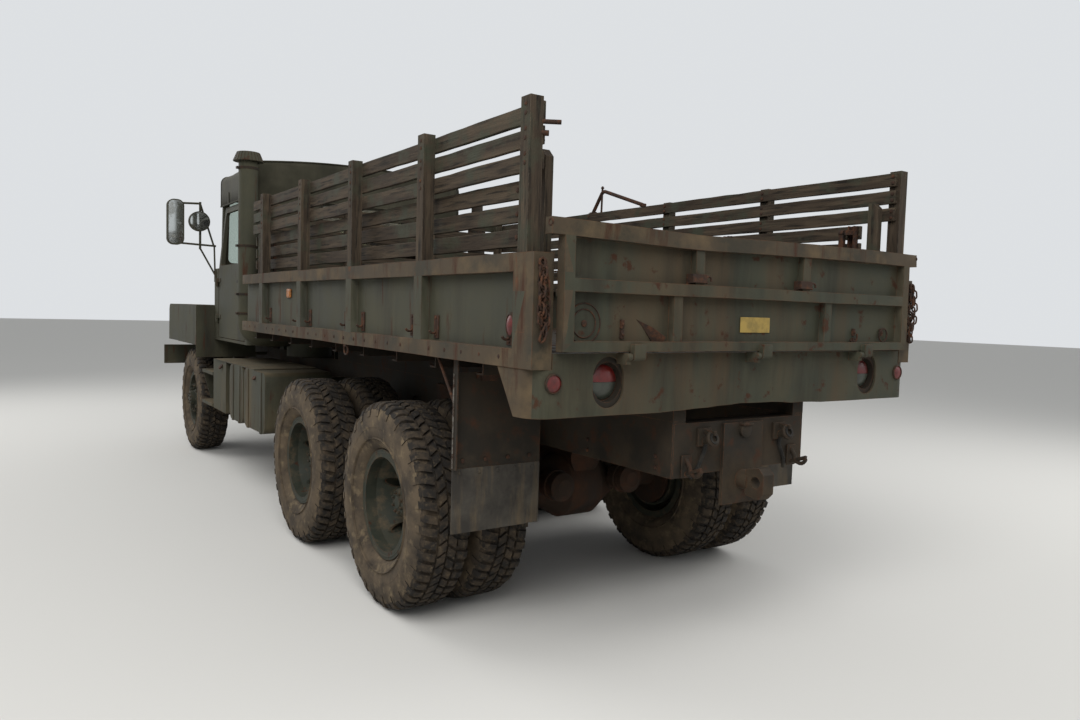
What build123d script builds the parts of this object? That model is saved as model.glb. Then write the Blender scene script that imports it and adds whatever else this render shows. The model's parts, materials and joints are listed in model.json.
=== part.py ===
from build123d import *
import math
import os

os.makedirs("parts", exist_ok=True)

# Six-wheel-drive cargo truck, all sizes in mm.
# +X is forward, +Y is the driver's (left) side, +Z is up, and the ground is Z = 0.

# Stance: axle places and the overhangs at both ends
front_overhang = 1065.0
front_to_middle_axle = 3861.0
bogie_spread = 1372.0
rear_overhang = 1500.0
overall_length = front_overhang + front_to_middle_axle + bogie_spread + rear_overhang
front_face_x = overall_length / 2
front_axle_x = front_face_x - front_overhang
middle_axle_x = front_axle_x - front_to_middle_axle
rear_axle_x = middle_axle_x - bogie_spread

# Wheels
tyre_r = 537.0
tyre_width = 293.0
bead_r = 254.0
flange_r = 285.0
rim_width = 204.0
rim_sheet = 9.0
front_track = 1980.0
dual_gap = 42.0
dual_outer_y = 1234.0
drum_r = 205.0
spindle_r = 45.0
running_gap = 0.05
seat_clear = 0.3
axle_z = tyre_r
front_wheel_y = front_track / 2
outer_dual_y = dual_outer_y - tyre_width / 2
inner_dual_y = outer_dual_y - tyre_width - dual_gap
dual_mid_y = (outer_dual_y + inner_dual_y) / 2

# Steering
kingpin_y = 800.0
kingpin_r = 20.0
ball_r = 100.0
ball_gap = 6.0
knuckle_wall = 30.0
steer_arm = 260.0
tie_rod_r = 22.0
tie_rod_end = 28.0
tie_pin_r = 14.0

# Chassis frame
rail_depth = 250.0
rail_flange = 75.0
rail_sheet = 10.0
rail_outer_y = 433.0
rail_top_z = 1100.0
rail_rear_gap = 170.0
bumper_depth = 90.0
bumper_height = 215.0
bumper_half_w = 1225.0
bumper_z = 840.0
rail_bottom_z = rail_top_z - rail_depth
rail_web_y = rail_outer_y - rail_sheet
rail_inner_y = rail_outer_y - rail_flange
rail_rear_x = rear_axle_x - rear_overhang + rail_rear_gap
rail_front_x = front_face_x - bumper_depth

# Cargo bed
bed_length = 4170.0
bed_rear_x = rear_axle_x - 1391.0
bed_half_w = 1215.0
side_width = 90.0
side_sheet = 6.0
bed_floor_z = 1404.0
floor_thick = 30.0
floor_inset = 60.0
sill_height = 248.0
sill_wall = 10.0
cross_sill_depth = 94.0
bottom_rail_z = 1343.0
bottom_rail_h = 72.0
top_rail_z = 1780.0
top_rail_h = 70.0
bed_front_x = bed_rear_x + bed_length
bed_inner_y = bed_half_w - side_width
floor_under_z = bed_floor_z - floor_thick
sill_bottom_z = bed_floor_z - sill_height

# Side racks and folding seats
stake_x_w = 65.0
stake_y_w = 60.0
stake_fit = 1.0
stake_top_z = 2362.0
stake_foot_z = 1480.0
stake_pitch = 890.0
stake_count = 5
rear_stake_inset = 91.0
slat_thick = 22.0
rack_top_z = 2355.0
rack_slat_h = 70.0
rack_slat_gap = 22.0
rack_slat_count = 3
front_slat_count = 6
seat_slat_h = 72.0
seat_slat_gap = 22.0
seat_slat_count = 4
seat_drop = 20.0
seat_end_inset = 250.0
seat_front_inset = 180.0
hinge_pin_r = 8.0

# Tailgate
tailgate_thick = 45.0
tailgate_gap = 4.0
tailgate_height = 498.0
tailgate_half_w = bed_inner_y - 15
tailgate_rail_half_w = bed_inner_y + 45
tailgate_sheet = 5.0

# Cab
cab_half_w = 1030.0
cab_skin = 40.0
cab_floor_z = 1215.0
belt_z = 1885.0
cab_rear_x = front_axle_x - 1903.0
door_rear_x = cab_rear_x + 110.0
door_length = 990.0
door_gap = 8.0
cowl_length = 180.0
door_top_z = 2470.0
cab_side_lean = 60.0
screen_top_z = 2600.0
canvas_crown = 60.0
canvas_thick = 12.0
door_front_x = door_rear_x + door_length
cowl_front_x = door_front_x + cowl_length

# Hood and fenders
hood_half_w = 620.0
hood_rear_z = 1925.0
hood_front_z = 1850.0
hood_skin = 12.0
hood_gap = 8.0
grille_x = front_axle_x + 860.0
fender_top_z = 1525.0
fender_half_w = 1200.0
fender_skin = 12.0


def box(x0, x1, y0, y1, z0, z1):
    """A block between two corners."""
    centre = Pos((x0 + x1) / 2, (y0 + y1) / 2, (z0 + z1) / 2)
    return centre * Box(abs(x1 - x0), abs(y1 - y0), abs(z1 - z0))


def rounded(points, corner):
    """A closed outline, with every corner rounded where a radius is given."""
    face = Polygon(*points, align=None)
    return fillet(face.vertices(), corner) if corner else face


def side_plate(points, y0, y1, corner=0):
    """An outline of (x, z) points, extruded from y0 to y1."""
    plane = Plane(origin=(0, y0, 0), x_dir=(1, 0, 0), z_dir=(0, -1, 0))
    return extrude(plane * rounded(points, corner), amount=y1 - y0, dir=(0, 1, 0))


def long_section(points, x0, x1, corner=0):
    """An outline of (y, z) points, extruded from x0 to x1."""
    plane = Plane(origin=(x0, 0, 0), x_dir=(0, 1, 0), z_dir=(1, 0, 0))
    return extrude(plane * rounded(points, corner), amount=x1 - x0, dir=(1, 0, 0))


def corners(a0, a1, b0, b1):
    """The four corners of a rectangle."""
    return [(a0, b0), (a1, b0), (a1, b1), (a0, b1)]


def turned(points, x, z):
    """A closed outline of (y, radius) points, turned about the Y axis and set at x, z."""
    face = Plane.YZ * Polygon(*points, align=None)
    return Pos(x, 0, z) * revolve(face, Axis.Y)


def turned_along(points, y, z):
    """A closed outline of (x, radius) points, turned about the X axis and set at y, z."""
    face = Plane.XY * Polygon(*points, align=None)
    return Pos(0, y, z) * revolve(face, Axis.X)


def cross_bar(x, z, r, y0, y1):
    """A round bar along Y."""
    return Pos(x, (y0 + y1) / 2, z) * Rot(90, 0, 0) * Cylinder(r, abs(y1 - y0))


def upright_bar(x, y, r, z0, z1):
    """A round bar along Z."""
    return Pos(x, y, (z0 + z1) / 2) * Cylinder(r, abs(z1 - z0))


def rod(start, end, r):
    """A round bar between two points."""
    run = Vector(*end) - Vector(*start)
    plane = Plane(origin=start, z_dir=run)
    return extrude(plane * Circle(r), amount=run.length)


def other_side(shape):
    """The same piece on the other side of the truck."""
    return mirror(shape, about=Plane.XZ)


def both_sides(shape):
    """A piece and its twin on the other side."""
    return [shape, other_side(shape)]


def save(node, shapes):
    """Writes the solids of one node to its file."""
    solids = [solid for shape in shapes for solid in shape.solids()]
    whole = Compound(solids) if len(solids) > 1 else solids[0]
    export_step(whole, "parts/" + node + ".step")


# Tyres: one closed ring from the bead to the tread's face, with a crowned tread
bead_lip = 4.0
sidewall_low = 85.0
sidewall_high = 115.0
shoulder_in = 42.0
shoulder_drop = 34.0
tread_crown = 4.0


def tyre(x, y):
    half = tyre_width / 2
    inner = rim_width / 2 - rim_sheet - 1.0
    seat = bead_r + seat_clear
    right = [
        (inner, seat),
        (inner, flange_r + bead_lip),
        (half, flange_r + sidewall_low),
        (half, tyre_r - sidewall_high),
        (half - shoulder_in * 0.4, tyre_r - shoulder_drop),
        (half - shoulder_in, tyre_r - tread_crown),
    ]
    left = [(-place, radius) for place, radius in right]
    outline = left + [(0, tyre_r)] + right[::-1]
    return turned([(y + place, radius) for place, radius in outline], x, axle_z)


# Rims: a flanged barrel and a dished disc with hand holes, on the hub's flange
hub_r = 88.0
hub_flange_r = 145.0
disc_sheet = 12.0
disc_foot = 25.0
front_disc_y = 30.0
hand_hole_r = 26.0
hand_hole_count = 5
hand_hole_circle = 208.0
hub_inner_reach = 100.0
hub_outer_reach = 10.0
hub_step = 14.0
hub_cap = 12.0
drum_wall = 14.0
drum_depth = 88.0
drum_web = 16.0
drum_inset = 20.0


def barrel(y):
    half = rim_width / 2
    inner = bead_r - rim_sheet
    return [
        (y - half, flange_r),
        (y - half + rim_sheet, flange_r),
        (y - half + rim_sheet, bead_r),
        (y + half - rim_sheet, bead_r),
        (y + half - rim_sheet, flange_r),
        (y + half, flange_r),
        (y + half, inner),
        (y - half, inner),
    ]


def disc(face_y, barrel_y, side):
    """A dish from the hub flange out to the barrel; side is +1 where it opens outward."""
    inner = bead_r - rim_sheet
    foot = barrel_y + side * disc_foot
    back = face_y + side * disc_sheet
    return [
        (face_y, hub_r + 1),
        (back, hub_r + 1),
        (back, hub_flange_r + drum_inset),
        (foot + side * disc_sheet * 1.5, inner + 1),
        (foot, inner + 1),
        (face_y, hub_flange_r + drum_inset + rim_sheet),
    ]


def drum(y0, y1, bore):
    """A brake drum from its open edge y0 to its web at y1."""
    return [
        (y0, drum_r),
        (y1, drum_r),
        (y1, bore),
        (y1 - drum_web, bore),
        (y1 - drum_web, drum_r - drum_wall),
        (y0, drum_r - drum_wall),
    ]


def hand_holes(x, y0, y1):
    """Round holes through the dish, spread evenly about the wheel's axis."""
    holes = []
    for index in range(hand_hole_count):
        angle = math.radians(90 + index * 360 / hand_hole_count)
        hole_x = x + hand_hole_circle * math.cos(angle)
        hole_z = axle_z + hand_hole_circle * math.sin(angle)
        holes.append(cross_bar(hole_x, hole_z, hand_hole_r, y0, y1))
    return holes


def dual_rims(x):
    web = dual_mid_y - disc_sheet - 2 * hub_cap
    step = outer_dual_y - 50
    end = outer_dual_y + hub_outer_reach
    hub = [
        (inner_dual_y - hub_inner_reach, spindle_r + running_gap),
        (inner_dual_y - hub_inner_reach, hub_r),
        (web, hub_r),
        (web, hub_r + 2),
        (step, hub_r + 2),
        (step, hub_r - hub_step),
        (end, hub_r - hub_step),
        (end, spindle_r + running_gap),
    ]
    cap = [(end, 0), (end, hub_r - hub_step), (end + hub_cap, hub_r - hub_step - 10), (end + hub_cap, 0)]
    outlines = [
        barrel(outer_dual_y),
        barrel(inner_dual_y),
        disc(dual_mid_y, outer_dual_y, 1),
        disc(dual_mid_y, inner_dual_y, -1),
        hub,
        cap,
        drum(inner_dual_y - drum_inset - drum_depth, inner_dual_y - drum_inset, hub_r - 4),
    ]
    whole = None
    for outline in outlines:
        ring = turned(outline, x, axle_z)
        whole = ring if whole is None else whole + ring
    for hole in hand_holes(x, inner_dual_y + disc_foot - rim_width / 2, outer_dual_y + rim_width / 2):
        whole -= hole
    return whole


def front_rim():
    x = front_axle_x
    face = front_wheel_y + front_disc_y
    inner = front_wheel_y - 48
    hub = [
        (inner, spindle_r + running_gap),
        (inner, hub_r + 2),
        (face + 60, hub_r + 2),
        (face + 75, hub_r - 10),
        (face + 120, hub_r - 10),
        (face + 120, 0),
        (face + 100, 0),
        (face + 100, spindle_r + running_gap),
    ]
    whole = turned(barrel(front_wheel_y), x, axle_z)
    dish = turned(disc(face, front_wheel_y - 60, -1), x, axle_z)
    for hole in hand_holes(x, front_wheel_y - rim_width / 2, face + rim_width / 2):
        dish -= hole
    whole += dish + turned(hub, x, axle_z)
    return whole + turned(drum(front_wheel_y - 85, front_wheel_y - 5, hub_r), x, axle_z)


front_tyre = tyre(front_axle_x, front_wheel_y)
front_wheel = front_rim()
save("tyre_front_left", [front_tyre])
save("tyre_front_right", [other_side(front_tyre)])
save("rim_front_left", [front_wheel])
save("rim_front_right", [other_side(front_wheel)])
for place, x in (("middle", middle_axle_x), ("rear", rear_axle_x)):
    pair = [tyre(x, outer_dual_y), tyre(x, inner_dual_y)]
    rims = dual_rims(x)
    save("tyres_" + place + "_left", pair)
    save("tyres_" + place + "_right", [other_side(one) for one in pair])
    save("rims_" + place + "_left", [rims])
    save("rims_" + place + "_right", [other_side(rims)])

# Rear axles: a tube with a banjo bowl, a top-mounted gear carrier and spindles for the hubs
axle_tube_r = 68.0
bowl_r = 190.0
spring_seat_y = 505.0
carrier_r = 105.0
carrier_front = 170.0
carrier_rear = 160.0
carrier_length = carrier_front + carrier_rear
carrier_z = axle_z + 183.0
spring_seat_z = axle_z + axle_tube_r + 14
torque_r = 20.0
torque_eye_r = 30.0
torque_eye_w = 50.0
torque_y = 345.0
torque_lug = 24.0
torque_axle_reach = 110.0
torque_low_z = axle_z - 20.0
bogie_mid_x = (middle_axle_x + rear_axle_x) / 2

# Brake chambers: two domed halves on a clamp ring, on the axle's outer side
chamber_r = 80.0
chamber_ring_r = 90.0
chamber_start = 135.0
chamber_length = 165.0
chamber_neck_r = 32.0
chamber_y = 245.0
chamber_z = axle_z + 50.0


def brake_chamber(x, toward, y):
    start = x + toward * chamber_start
    steps = (
        (0, 0),
        (0, chamber_r * 0.65),
        (0.12, chamber_r),
        (0.45, chamber_r),
        (0.45, chamber_ring_r),
        (0.55, chamber_ring_r),
        (0.55, chamber_r),
        (0.88, chamber_r),
        (1, chamber_r * 0.55),
        (1, 0),
    )
    outline = [(start + toward * share * chamber_length, radius) for share, radius in steps]
    pot = turned_along(outline, y, chamber_z)
    return pot + rod((x, y, chamber_z), (start + toward, y, chamber_z), chamber_neck_r)


# Backing plates close the brake drums from inside
backing_thick = 12.0
backing_gap = 8.0
axle_flare = 120.0


def rear_axle(x):
    tube_end = inner_dual_y - drum_inset - drum_depth - backing_gap
    right = [
        (bowl_r * 0.55, bowl_r),
        (bowl_r + axle_flare, axle_tube_r),
        (tube_end, axle_tube_r),
        (tube_end, 0),
    ]
    left = [(-place, radius) for place, radius in right]
    whole = turned(left[::-1] + right, x, axle_z)
    whole += cross_bar(x, axle_z, spindle_r, -outer_dual_y, outer_dual_y)
    middle = x + (carrier_front - carrier_rear) / 2
    whole += Pos(middle, 0, carrier_z) * Rot(0, 90, 0) * Cylinder(carrier_r, carrier_length)
    backing = cross_bar(x, axle_z, drum_r - 20, tube_end - backing_thick, tube_end)
    pad = box(x - 75, x + 75, spring_seat_y - 45, spring_seat_y + 45, axle_z, spring_seat_z)
    away = 1 if x > bogie_mid_x else -1
    for piece in (backing, pad, rod_lug(x), brake_chamber(x, away, chamber_y)):
        whole += piece
        whole += other_side(piece)
    return whole


def rod_lug(x):
    """A tongue that holds the eye of a torque rod from its inner side."""
    toward = 1 if x < bogie_mid_x else -1
    y1 = torque_y - torque_eye_w / 2
    end = x + toward * torque_axle_reach
    low = torque_low_z - torque_eye_r
    tongue = box(min(x, end), max(x, end), y1 - torque_lug, y1, low, low + 2 * torque_eye_r)
    return tongue + cross_bar(end, torque_low_z, torque_eye_r, y1 - torque_lug, y1)


save("bogie_axles", [rear_axle(middle_axle_x), rear_axle(rear_axle_x)])

# Front drive axle: bowl, tapered necks and the ball that each steering knuckle turns on
neck_r = 48.0
front_nose = 250.0
front_pinion_z = axle_z + 57.0


def front_axle():
    x = front_axle_x
    tube = turned(
        [
            (-kingpin_y, 0),
            (-kingpin_y, neck_r),
            (-kingpin_y + ball_r + 40, neck_r),
            (-kingpin_y + ball_r + 110, axle_tube_r),
            (-bowl_r - 100, axle_tube_r),
            (-bowl_r * 0.5, bowl_r),
            (bowl_r * 0.5, bowl_r),
            (bowl_r + 100, axle_tube_r),
            (kingpin_y - ball_r - 110, axle_tube_r),
            (kingpin_y - ball_r - 40, neck_r),
            (kingpin_y, neck_r),
            (kingpin_y, 0),
        ],
        x,
        axle_z,
    )
    whole = tube
    for y in (kingpin_y, -kingpin_y):
        whole += Pos(x, y, axle_z) * Sphere(ball_r)
        whole += upright_bar(x, y, kingpin_r, axle_z - ball_r - knuckle_wall, axle_z + ball_r + knuckle_wall)
    for y in (spring_seat_y, -spring_seat_y):
        whole += box(x - 75, x + 75, y - 45, y + 45, axle_z, spring_seat_z)
    nose = rod((x, 0, front_pinion_z), (x - front_nose, 0, front_pinion_z), carrier_r)
    return whole + nose


save("front_axle", [front_axle()])

# Steering knuckle: a bowl round the axle's ball, the wheel spindle and the steering arm
arm_y = kingpin_y
arm_z = axle_z - 95.0
arm_thick = 30.0
knuckle_mouth = 35.0
tie_x = front_axle_x - steer_arm


def knuckle_left():
    x = front_axle_x
    shell_r = ball_r + ball_gap + knuckle_wall
    bowl = Pos(x, kingpin_y, axle_z) * Sphere(shell_r)
    bowl -= Pos(x, kingpin_y, axle_z) * Sphere(ball_r + ball_gap)
    mouth = 2 * shell_r
    bowl -= Pos(x, kingpin_y - knuckle_mouth - shell_r, axle_z) * Box(mouth, mouth, mouth)
    bowl -= upright_bar(x, kingpin_y, kingpin_r + running_gap, axle_z - shell_r, axle_z + shell_r)
    spindle = cross_bar(x, axle_z, spindle_r, kingpin_y + shell_r - 8, front_wheel_y + front_disc_y + 95)
    foot = cross_bar(x, axle_z, drum_r - 20, front_wheel_y - 104, front_wheel_y - 92)
    collar = cross_bar(x, axle_z, spindle_r + 40, kingpin_y + ball_r + ball_gap + 6, front_wheel_y - 92)
    arm = side_plate(
        [
            (tie_x - 30, arm_z - arm_thick / 2),
            (tie_x - 30, arm_z + arm_thick / 2),
            (x - shell_r * 0.55, arm_z + arm_thick / 2),
            (x - shell_r * 0.55, arm_z - arm_thick / 2),
        ],
        arm_y - 28,
        arm_y + 28,
    )
    link = side_plate(
        [
            (x - shell_r * 1.05, arm_z - arm_thick / 2),
            (x - shell_r * 1.05, arm_z + arm_thick / 2),
            (x - ball_r * 0.62, arm_z + arm_thick / 2),
            (x - ball_r * 0.62, arm_z - arm_thick / 2),
        ],
        arm_y - 28,
        kingpin_y + 20,
    )
    arm -= upright_bar(tie_x, arm_y, tie_pin_r + running_gap, arm_z - arm_thick, arm_z + arm_thick)
    whole = bowl + spindle + foot + collar + arm + link
    return whole - Pos(x, kingpin_y, axle_z) * Sphere(ball_r + ball_gap)


knuckle = knuckle_left()
save("knuckle_left", [knuckle])
save("knuckle_right", [other_side(knuckle)])


# Tie rod: below the arms, with a pin up through each eye
def tie_rod():
    z = arm_z - arm_thick / 2 - tie_rod_r - 8
    bar = cross_bar(tie_x, z, tie_rod_r, -arm_y - tie_rod_end, arm_y + tie_rod_end)
    for y in (arm_y, -arm_y):
        bar += upright_bar(tie_x, y, tie_pin_r, z, arm_z + arm_thick / 2 + 6)
    return bar


save("tie_rod", [tie_rod()])


# Chassis rails: channels that open inward
def rail():
    section = [
        (rail_outer_y, rail_bottom_z),
        (rail_outer_y, rail_top_z),
        (rail_inner_y, rail_top_z),
        (rail_inner_y, rail_top_z - rail_sheet),
        (rail_web_y, rail_top_z - rail_sheet),
        (rail_web_y, rail_bottom_z + rail_sheet),
        (rail_inner_y, rail_bottom_z + rail_sheet),
        (rail_inner_y, rail_bottom_z),
    ]
    return long_section(section, rail_rear_x, rail_front_x)


# Crossmembers between the rail webs
crossmember_w = 90.0
transfer_x = middle_axle_x + 1450.0
transfer_half_l = 230.0
crossmember_sheet = 10.0
crossmember_z = rail_bottom_z + rail_sheet
crossmember_top_z = rail_top_z - rail_sheet
crossmember_xs = (
    rail_rear_x,
    rear_axle_x + bogie_spread / 2 - crossmember_w / 2,
    middle_axle_x + 620.0,
    transfer_x - transfer_half_l - crossmember_w,
    front_axle_x + 640.0,
)


def crossmember(x):
    """A channel on its side, open to the front."""
    outline = [
        (x, crossmember_z),
        (x, crossmember_top_z),
        (x + crossmember_w, crossmember_top_z),
        (x + crossmember_w, crossmember_top_z - crossmember_sheet),
        (x + crossmember_sheet, crossmember_top_z - crossmember_sheet),
        (x + crossmember_sheet, crossmember_z + crossmember_sheet),
        (x + crossmember_w, crossmember_z + crossmember_sheet),
        (x + crossmember_w, crossmember_z),
    ]
    return side_plate(outline, -rail_web_y, rail_web_y)


save("crossmembers", [crossmember(x) for x in crossmember_xs])


# Front bumper: a channel that opens to the rear, with two tow eyes
def front_bumper():
    back = rail_front_x
    outline = [
        (back, bumper_z),
        (front_face_x - 60, bumper_z),
        (front_face_x - 60, bumper_z + bumper_height),
        (back, bumper_z + bumper_height),
        (back, bumper_z + bumper_height - 10),
        (front_face_x - 70, bumper_z + bumper_height - 10),
        (front_face_x - 70, bumper_z + 10),
        (back, bumper_z + 10),
    ]
    bar = side_plate(outline, -bumper_half_w, bumper_half_w)
    for y in (rail_outer_y - 30, -rail_outer_y + 30):
        bar += box(back, front_face_x - 65, y - 12, y + 12, bumper_z + 5, bumper_z + bumper_height - 5)
        eye = box(front_face_x - 62, front_face_x, y - 14, y + 14, bumper_z + 60, bumper_z + 150)
        eye -= cross_bar(front_face_x - 30, bumper_z + 105, 18, y - 20, y + 20)
        bar += eye
    return bar


save("front_bumper", [front_bumper()])

# Leaf springs: curved leaves of falling length, stacked by a loop
leaf_thick = 14.0
leaf_width = 90.0
front_leaf_count = 7
front_leaf_half = 620.0
front_leaf_step = 80.0
front_leaf_rise = 110.0
bogie_leaf_count = 9
bogie_leaf_half = bogie_spread / 2 + 60
bogie_leaf_step = 64.0
bogie_leaf_rise = 130.0
bogie_x = bogie_mid_x


def leaf_pack(x, y, z, sizes, up):
    """Leaves with the longest at z in the middle; up is 1 where the tips rise and -1 where they fall."""
    half, rise, count, step = sizes
    whole = None
    for index in range(count):
        reach = half - index * step
        low = z - up * index * leaf_thick
        tip = low + up * rise * (reach / half) ** 2
        back_low = low - up * leaf_thick
        back_tip = tip - up * leaf_thick
        face = ThreePointArc((x - reach, tip), (x, low), (x + reach, tip))
        back = ThreePointArc((x + reach, back_tip), (x, back_low), (x - reach, back_tip))
        ends = [Line(face @ 1, back @ 0), Line(back @ 1, face @ 0)]
        plane = Plane(origin=(0, y - leaf_width / 2, 0), x_dir=(1, 0, 0), z_dir=(0, -1, 0))
        outline = make_face([face, ends[0], back, ends[1]])
        leaf = extrude(plane * outline, amount=leaf_width, dir=(0, 1, 0))
        whole = leaf if whole is None else whole + leaf
    return whole


def front_spring():
    top = spring_seat_z + leaf_thick * front_leaf_count
    sizes = (front_leaf_half, front_leaf_rise, front_leaf_count, front_leaf_step)
    pack = leaf_pack(front_axle_x, spring_seat_y, top, sizes, 1)
    for end in (-1, 1):
        x = front_axle_x + end * front_leaf_half
        outer = spring_seat_y + leaf_width / 2
        pack += box(x - 30, x + 30, rail_outer_y, outer, top + front_leaf_rise - 25, rail_bottom_z + 90)
    return pack


bogie_leaf_z = spring_seat_z + bogie_leaf_rise + seat_clear
bogie_leaf_r = (bogie_leaf_half**2 + bogie_leaf_rise**2) / (2 * bogie_leaf_rise)


def bogie_spring():
    sizes = (bogie_leaf_half, bogie_leaf_rise, bogie_leaf_count, bogie_leaf_step)
    return leaf_pack(bogie_x, spring_seat_y, bogie_leaf_z, sizes, -1)


save("leaf_springs", both_sides(front_spring()) + both_sides(bogie_spring()))

# Trunnion: a cross tube below the rails with a saddle under each bogie spring, and the torque rods
trunnion_z = 605.0
trunnion_r = 50.0
saddle_half = 100.0
saddle_top_z = bogie_leaf_z - (bogie_leaf_r - math.sqrt(bogie_leaf_r**2 - saddle_half**2)) - seat_clear


def torque_rod(axle_x):
    toward = 1 if axle_x > bogie_x else -1
    start_x = bogie_x + toward * 60
    end_x = axle_x - toward * torque_axle_reach
    start = (start_x, torque_y, trunnion_z - 15)
    end = (end_x, torque_y, torque_low_z)
    whole = rod(start, end, torque_r)
    for x, y, z in (start, end):
        whole += cross_bar(x, z, torque_eye_r, y - torque_eye_w / 2, y + torque_eye_w / 2)
    return whole


def trunnion():
    y0 = rail_outer_y
    whole = cross_bar(bogie_x, trunnion_z, trunnion_r, -spring_seat_y - 60, spring_seat_y + 60)
    plate = side_plate(
        [
            (bogie_x - 190, rail_top_z - 30),
            (bogie_x + 190, rail_top_z - 30),
            (bogie_x + 85, trunnion_z - 75),
            (bogie_x - 85, trunnion_z - 75),
        ],
        y0,
        y0 + 22,
    )
    half_w = leaf_width / 2
    saddle = box(
        bogie_x - saddle_half,
        bogie_x + saddle_half,
        spring_seat_y - half_w,
        spring_seat_y + half_w,
        trunnion_z,
        saddle_top_z,
    )
    for piece in (plate, saddle, torque_rod(middle_axle_x), torque_rod(rear_axle_x)):
        whole += piece
        whole += other_side(piece)
    return whole


save("trunnion", [trunnion()])

# Engine as one block on its feet, and the gearbox and transfer case behind it
engine_length = 1230.0
engine_half_w = 330.0
engine_bottom_z = 880.0
engine_top_z = 1740.0
engine_foot = 80.0
gearbox_length = 780.0
gearbox_half_w = 220.0
gearbox_bottom_z = 890.0
gearbox_top_z = 1175.0
transfer_bottom_z = 640.0
transfer_top_z = 1050.0
engine_rear_x = cowl_front_x + 20
engine_front_x = engine_rear_x + engine_length


def engine():
    block = box(
        engine_rear_x, engine_front_x, -engine_half_w, engine_half_w, engine_bottom_z, engine_top_z
    )
    for x in (engine_rear_x + 150, engine_front_x - 250):
        block += box(x, x + engine_foot, -rail_inner_y, rail_inner_y, rail_top_z - 60, rail_top_z)
    return block


save("engine", [engine()])

shaft_r = 40.0
flange_r_shaft = 65.0
flange_thick = 14.0
input_z = 960.0
output_z = carrier_z
casing_corner = 50.0


def shaft(start, end):
    """A drive shaft with a flange at each end."""
    run = Vector(*end) - Vector(*start)
    bar = rod(start, end, shaft_r)
    first = extrude(Plane(origin=start, z_dir=run) * Circle(flange_r_shaft), amount=flange_thick)
    last = extrude(Plane(origin=end, z_dir=run * -1) * Circle(flange_r_shaft), amount=flange_thick)
    return bar + first + last


def housing(x0, x1, start, end, z, corner):
    """A casing that tapers between two rounded rectangles, each given as (width, height)."""
    faces = []
    for x, (width, height) in ((x0, start), (x1, end)):
        plane = Plane(origin=(x, 0, z), x_dir=(0, 1, 0), z_dir=(1, 0, 0))
        faces.append(plane * RectangleRounded(width, height, corner))
    return loft(faces)


def driveline():
    gearbox_z = (gearbox_bottom_z + gearbox_top_z) / 2
    gearbox_h = gearbox_top_z - gearbox_bottom_z
    gearbox = housing(
        engine_rear_x - gearbox_length,
        engine_rear_x,
        (gearbox_half_w * 1.3, gearbox_h * 0.8),
        (gearbox_half_w * 2, gearbox_h),
        gearbox_z,
        casing_corner,
    )
    transfer_w = 2 * (rail_inner_y - 60)
    transfer = housing(
        transfer_x - transfer_half_l,
        transfer_x + transfer_half_l,
        (transfer_w, transfer_top_z - transfer_bottom_z),
        (transfer_w, transfer_top_z - transfer_bottom_z),
        (transfer_bottom_z + transfer_top_z) / 2,
        casing_corner,
    )
    gap = 20.0
    front_end = front_axle_x - front_nose
    shafts = [
        ((transfer_x + transfer_half_l, 0, input_z), (engine_rear_x - gearbox_length, 0, input_z)),
        ((middle_axle_x + carrier_front, 0, output_z), (transfer_x - transfer_half_l, 0, output_z)),
        ((rear_axle_x + carrier_front, 0, output_z), (middle_axle_x - carrier_rear, 0, output_z)),
        ((transfer_x + transfer_half_l + gap, 0, output_z - 20), (front_end - gap, 0, front_pinion_z)),
    ]
    shapes = [gearbox, transfer] + [shaft(start, end) for start, end in shafts[:3]]
    start, end = shafts[3]
    front_shaft = shaft(start, end)
    front_shaft += rod((start[0] - gap, 0, start[2]), start, shaft_r)
    front_shaft += rod((end[0] + gap, 0, end[2]), end, shaft_r)
    shapes.append(front_shaft)
    return shapes


save("driveline", driveline())

# Radiator on the front of the rails, behind the grille
radiator_half_w = 430.0
radiator_thick = 80.0
radiator_gap = 60.0
radiator_top_z = hood_front_z - 60
radiator_x = grille_x - radiator_gap - radiator_thick
save(
    "radiator",
    [
        box(
            radiator_x,
            radiator_x + radiator_thick,
            -radiator_half_w,
            radiator_half_w,
            rail_top_z,
            radiator_top_z,
        )
    ],
)

# Hood: a shell open below and behind, closed in front by the grille, with two hinge arms
hood_base_z = fender_top_z + hood_gap
hood_rear_x = cowl_front_x + hood_gap
grille_frame = 40.0
grille_low_z = rail_top_z + 45
grille_open_z = rail_top_z + 110
hinge_x = grille_x + 75.0
hinge_z = rail_top_z + 60.0
hinge_pin = 14.0
hinge_head_r = 26.0
hinge_arm_y = 376.0
hinge_arm_w = 32.0
hood_edge_r = 60.0
grille_head = 80.0
grille_corner = 30.0


def hood_prism(inset, rear_x, front_x, low_z):
    """The hood's solid form, or the hollow in it, with both long top edges rounded."""
    fall = (hood_rear_z - hood_front_z) / (grille_x + grille_frame - hood_rear_x)
    rear_z = hood_rear_z - inset - fall * (rear_x - hood_rear_x)
    front_z = hood_rear_z - inset - fall * (front_x - hood_rear_x)
    outline = [(rear_x, low_z), (rear_x, rear_z), (front_x, front_z), (front_x, low_z)]
    whole = side_plate(outline, -hood_half_w + inset, hood_half_w - inset)
    top = whole.faces().sort_by(Axis.Z)[-1]
    long_edges = [edge for edge in top.edges() if edge.length >= front_x - rear_x]
    return fillet(long_edges, hood_edge_r - inset)


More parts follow.
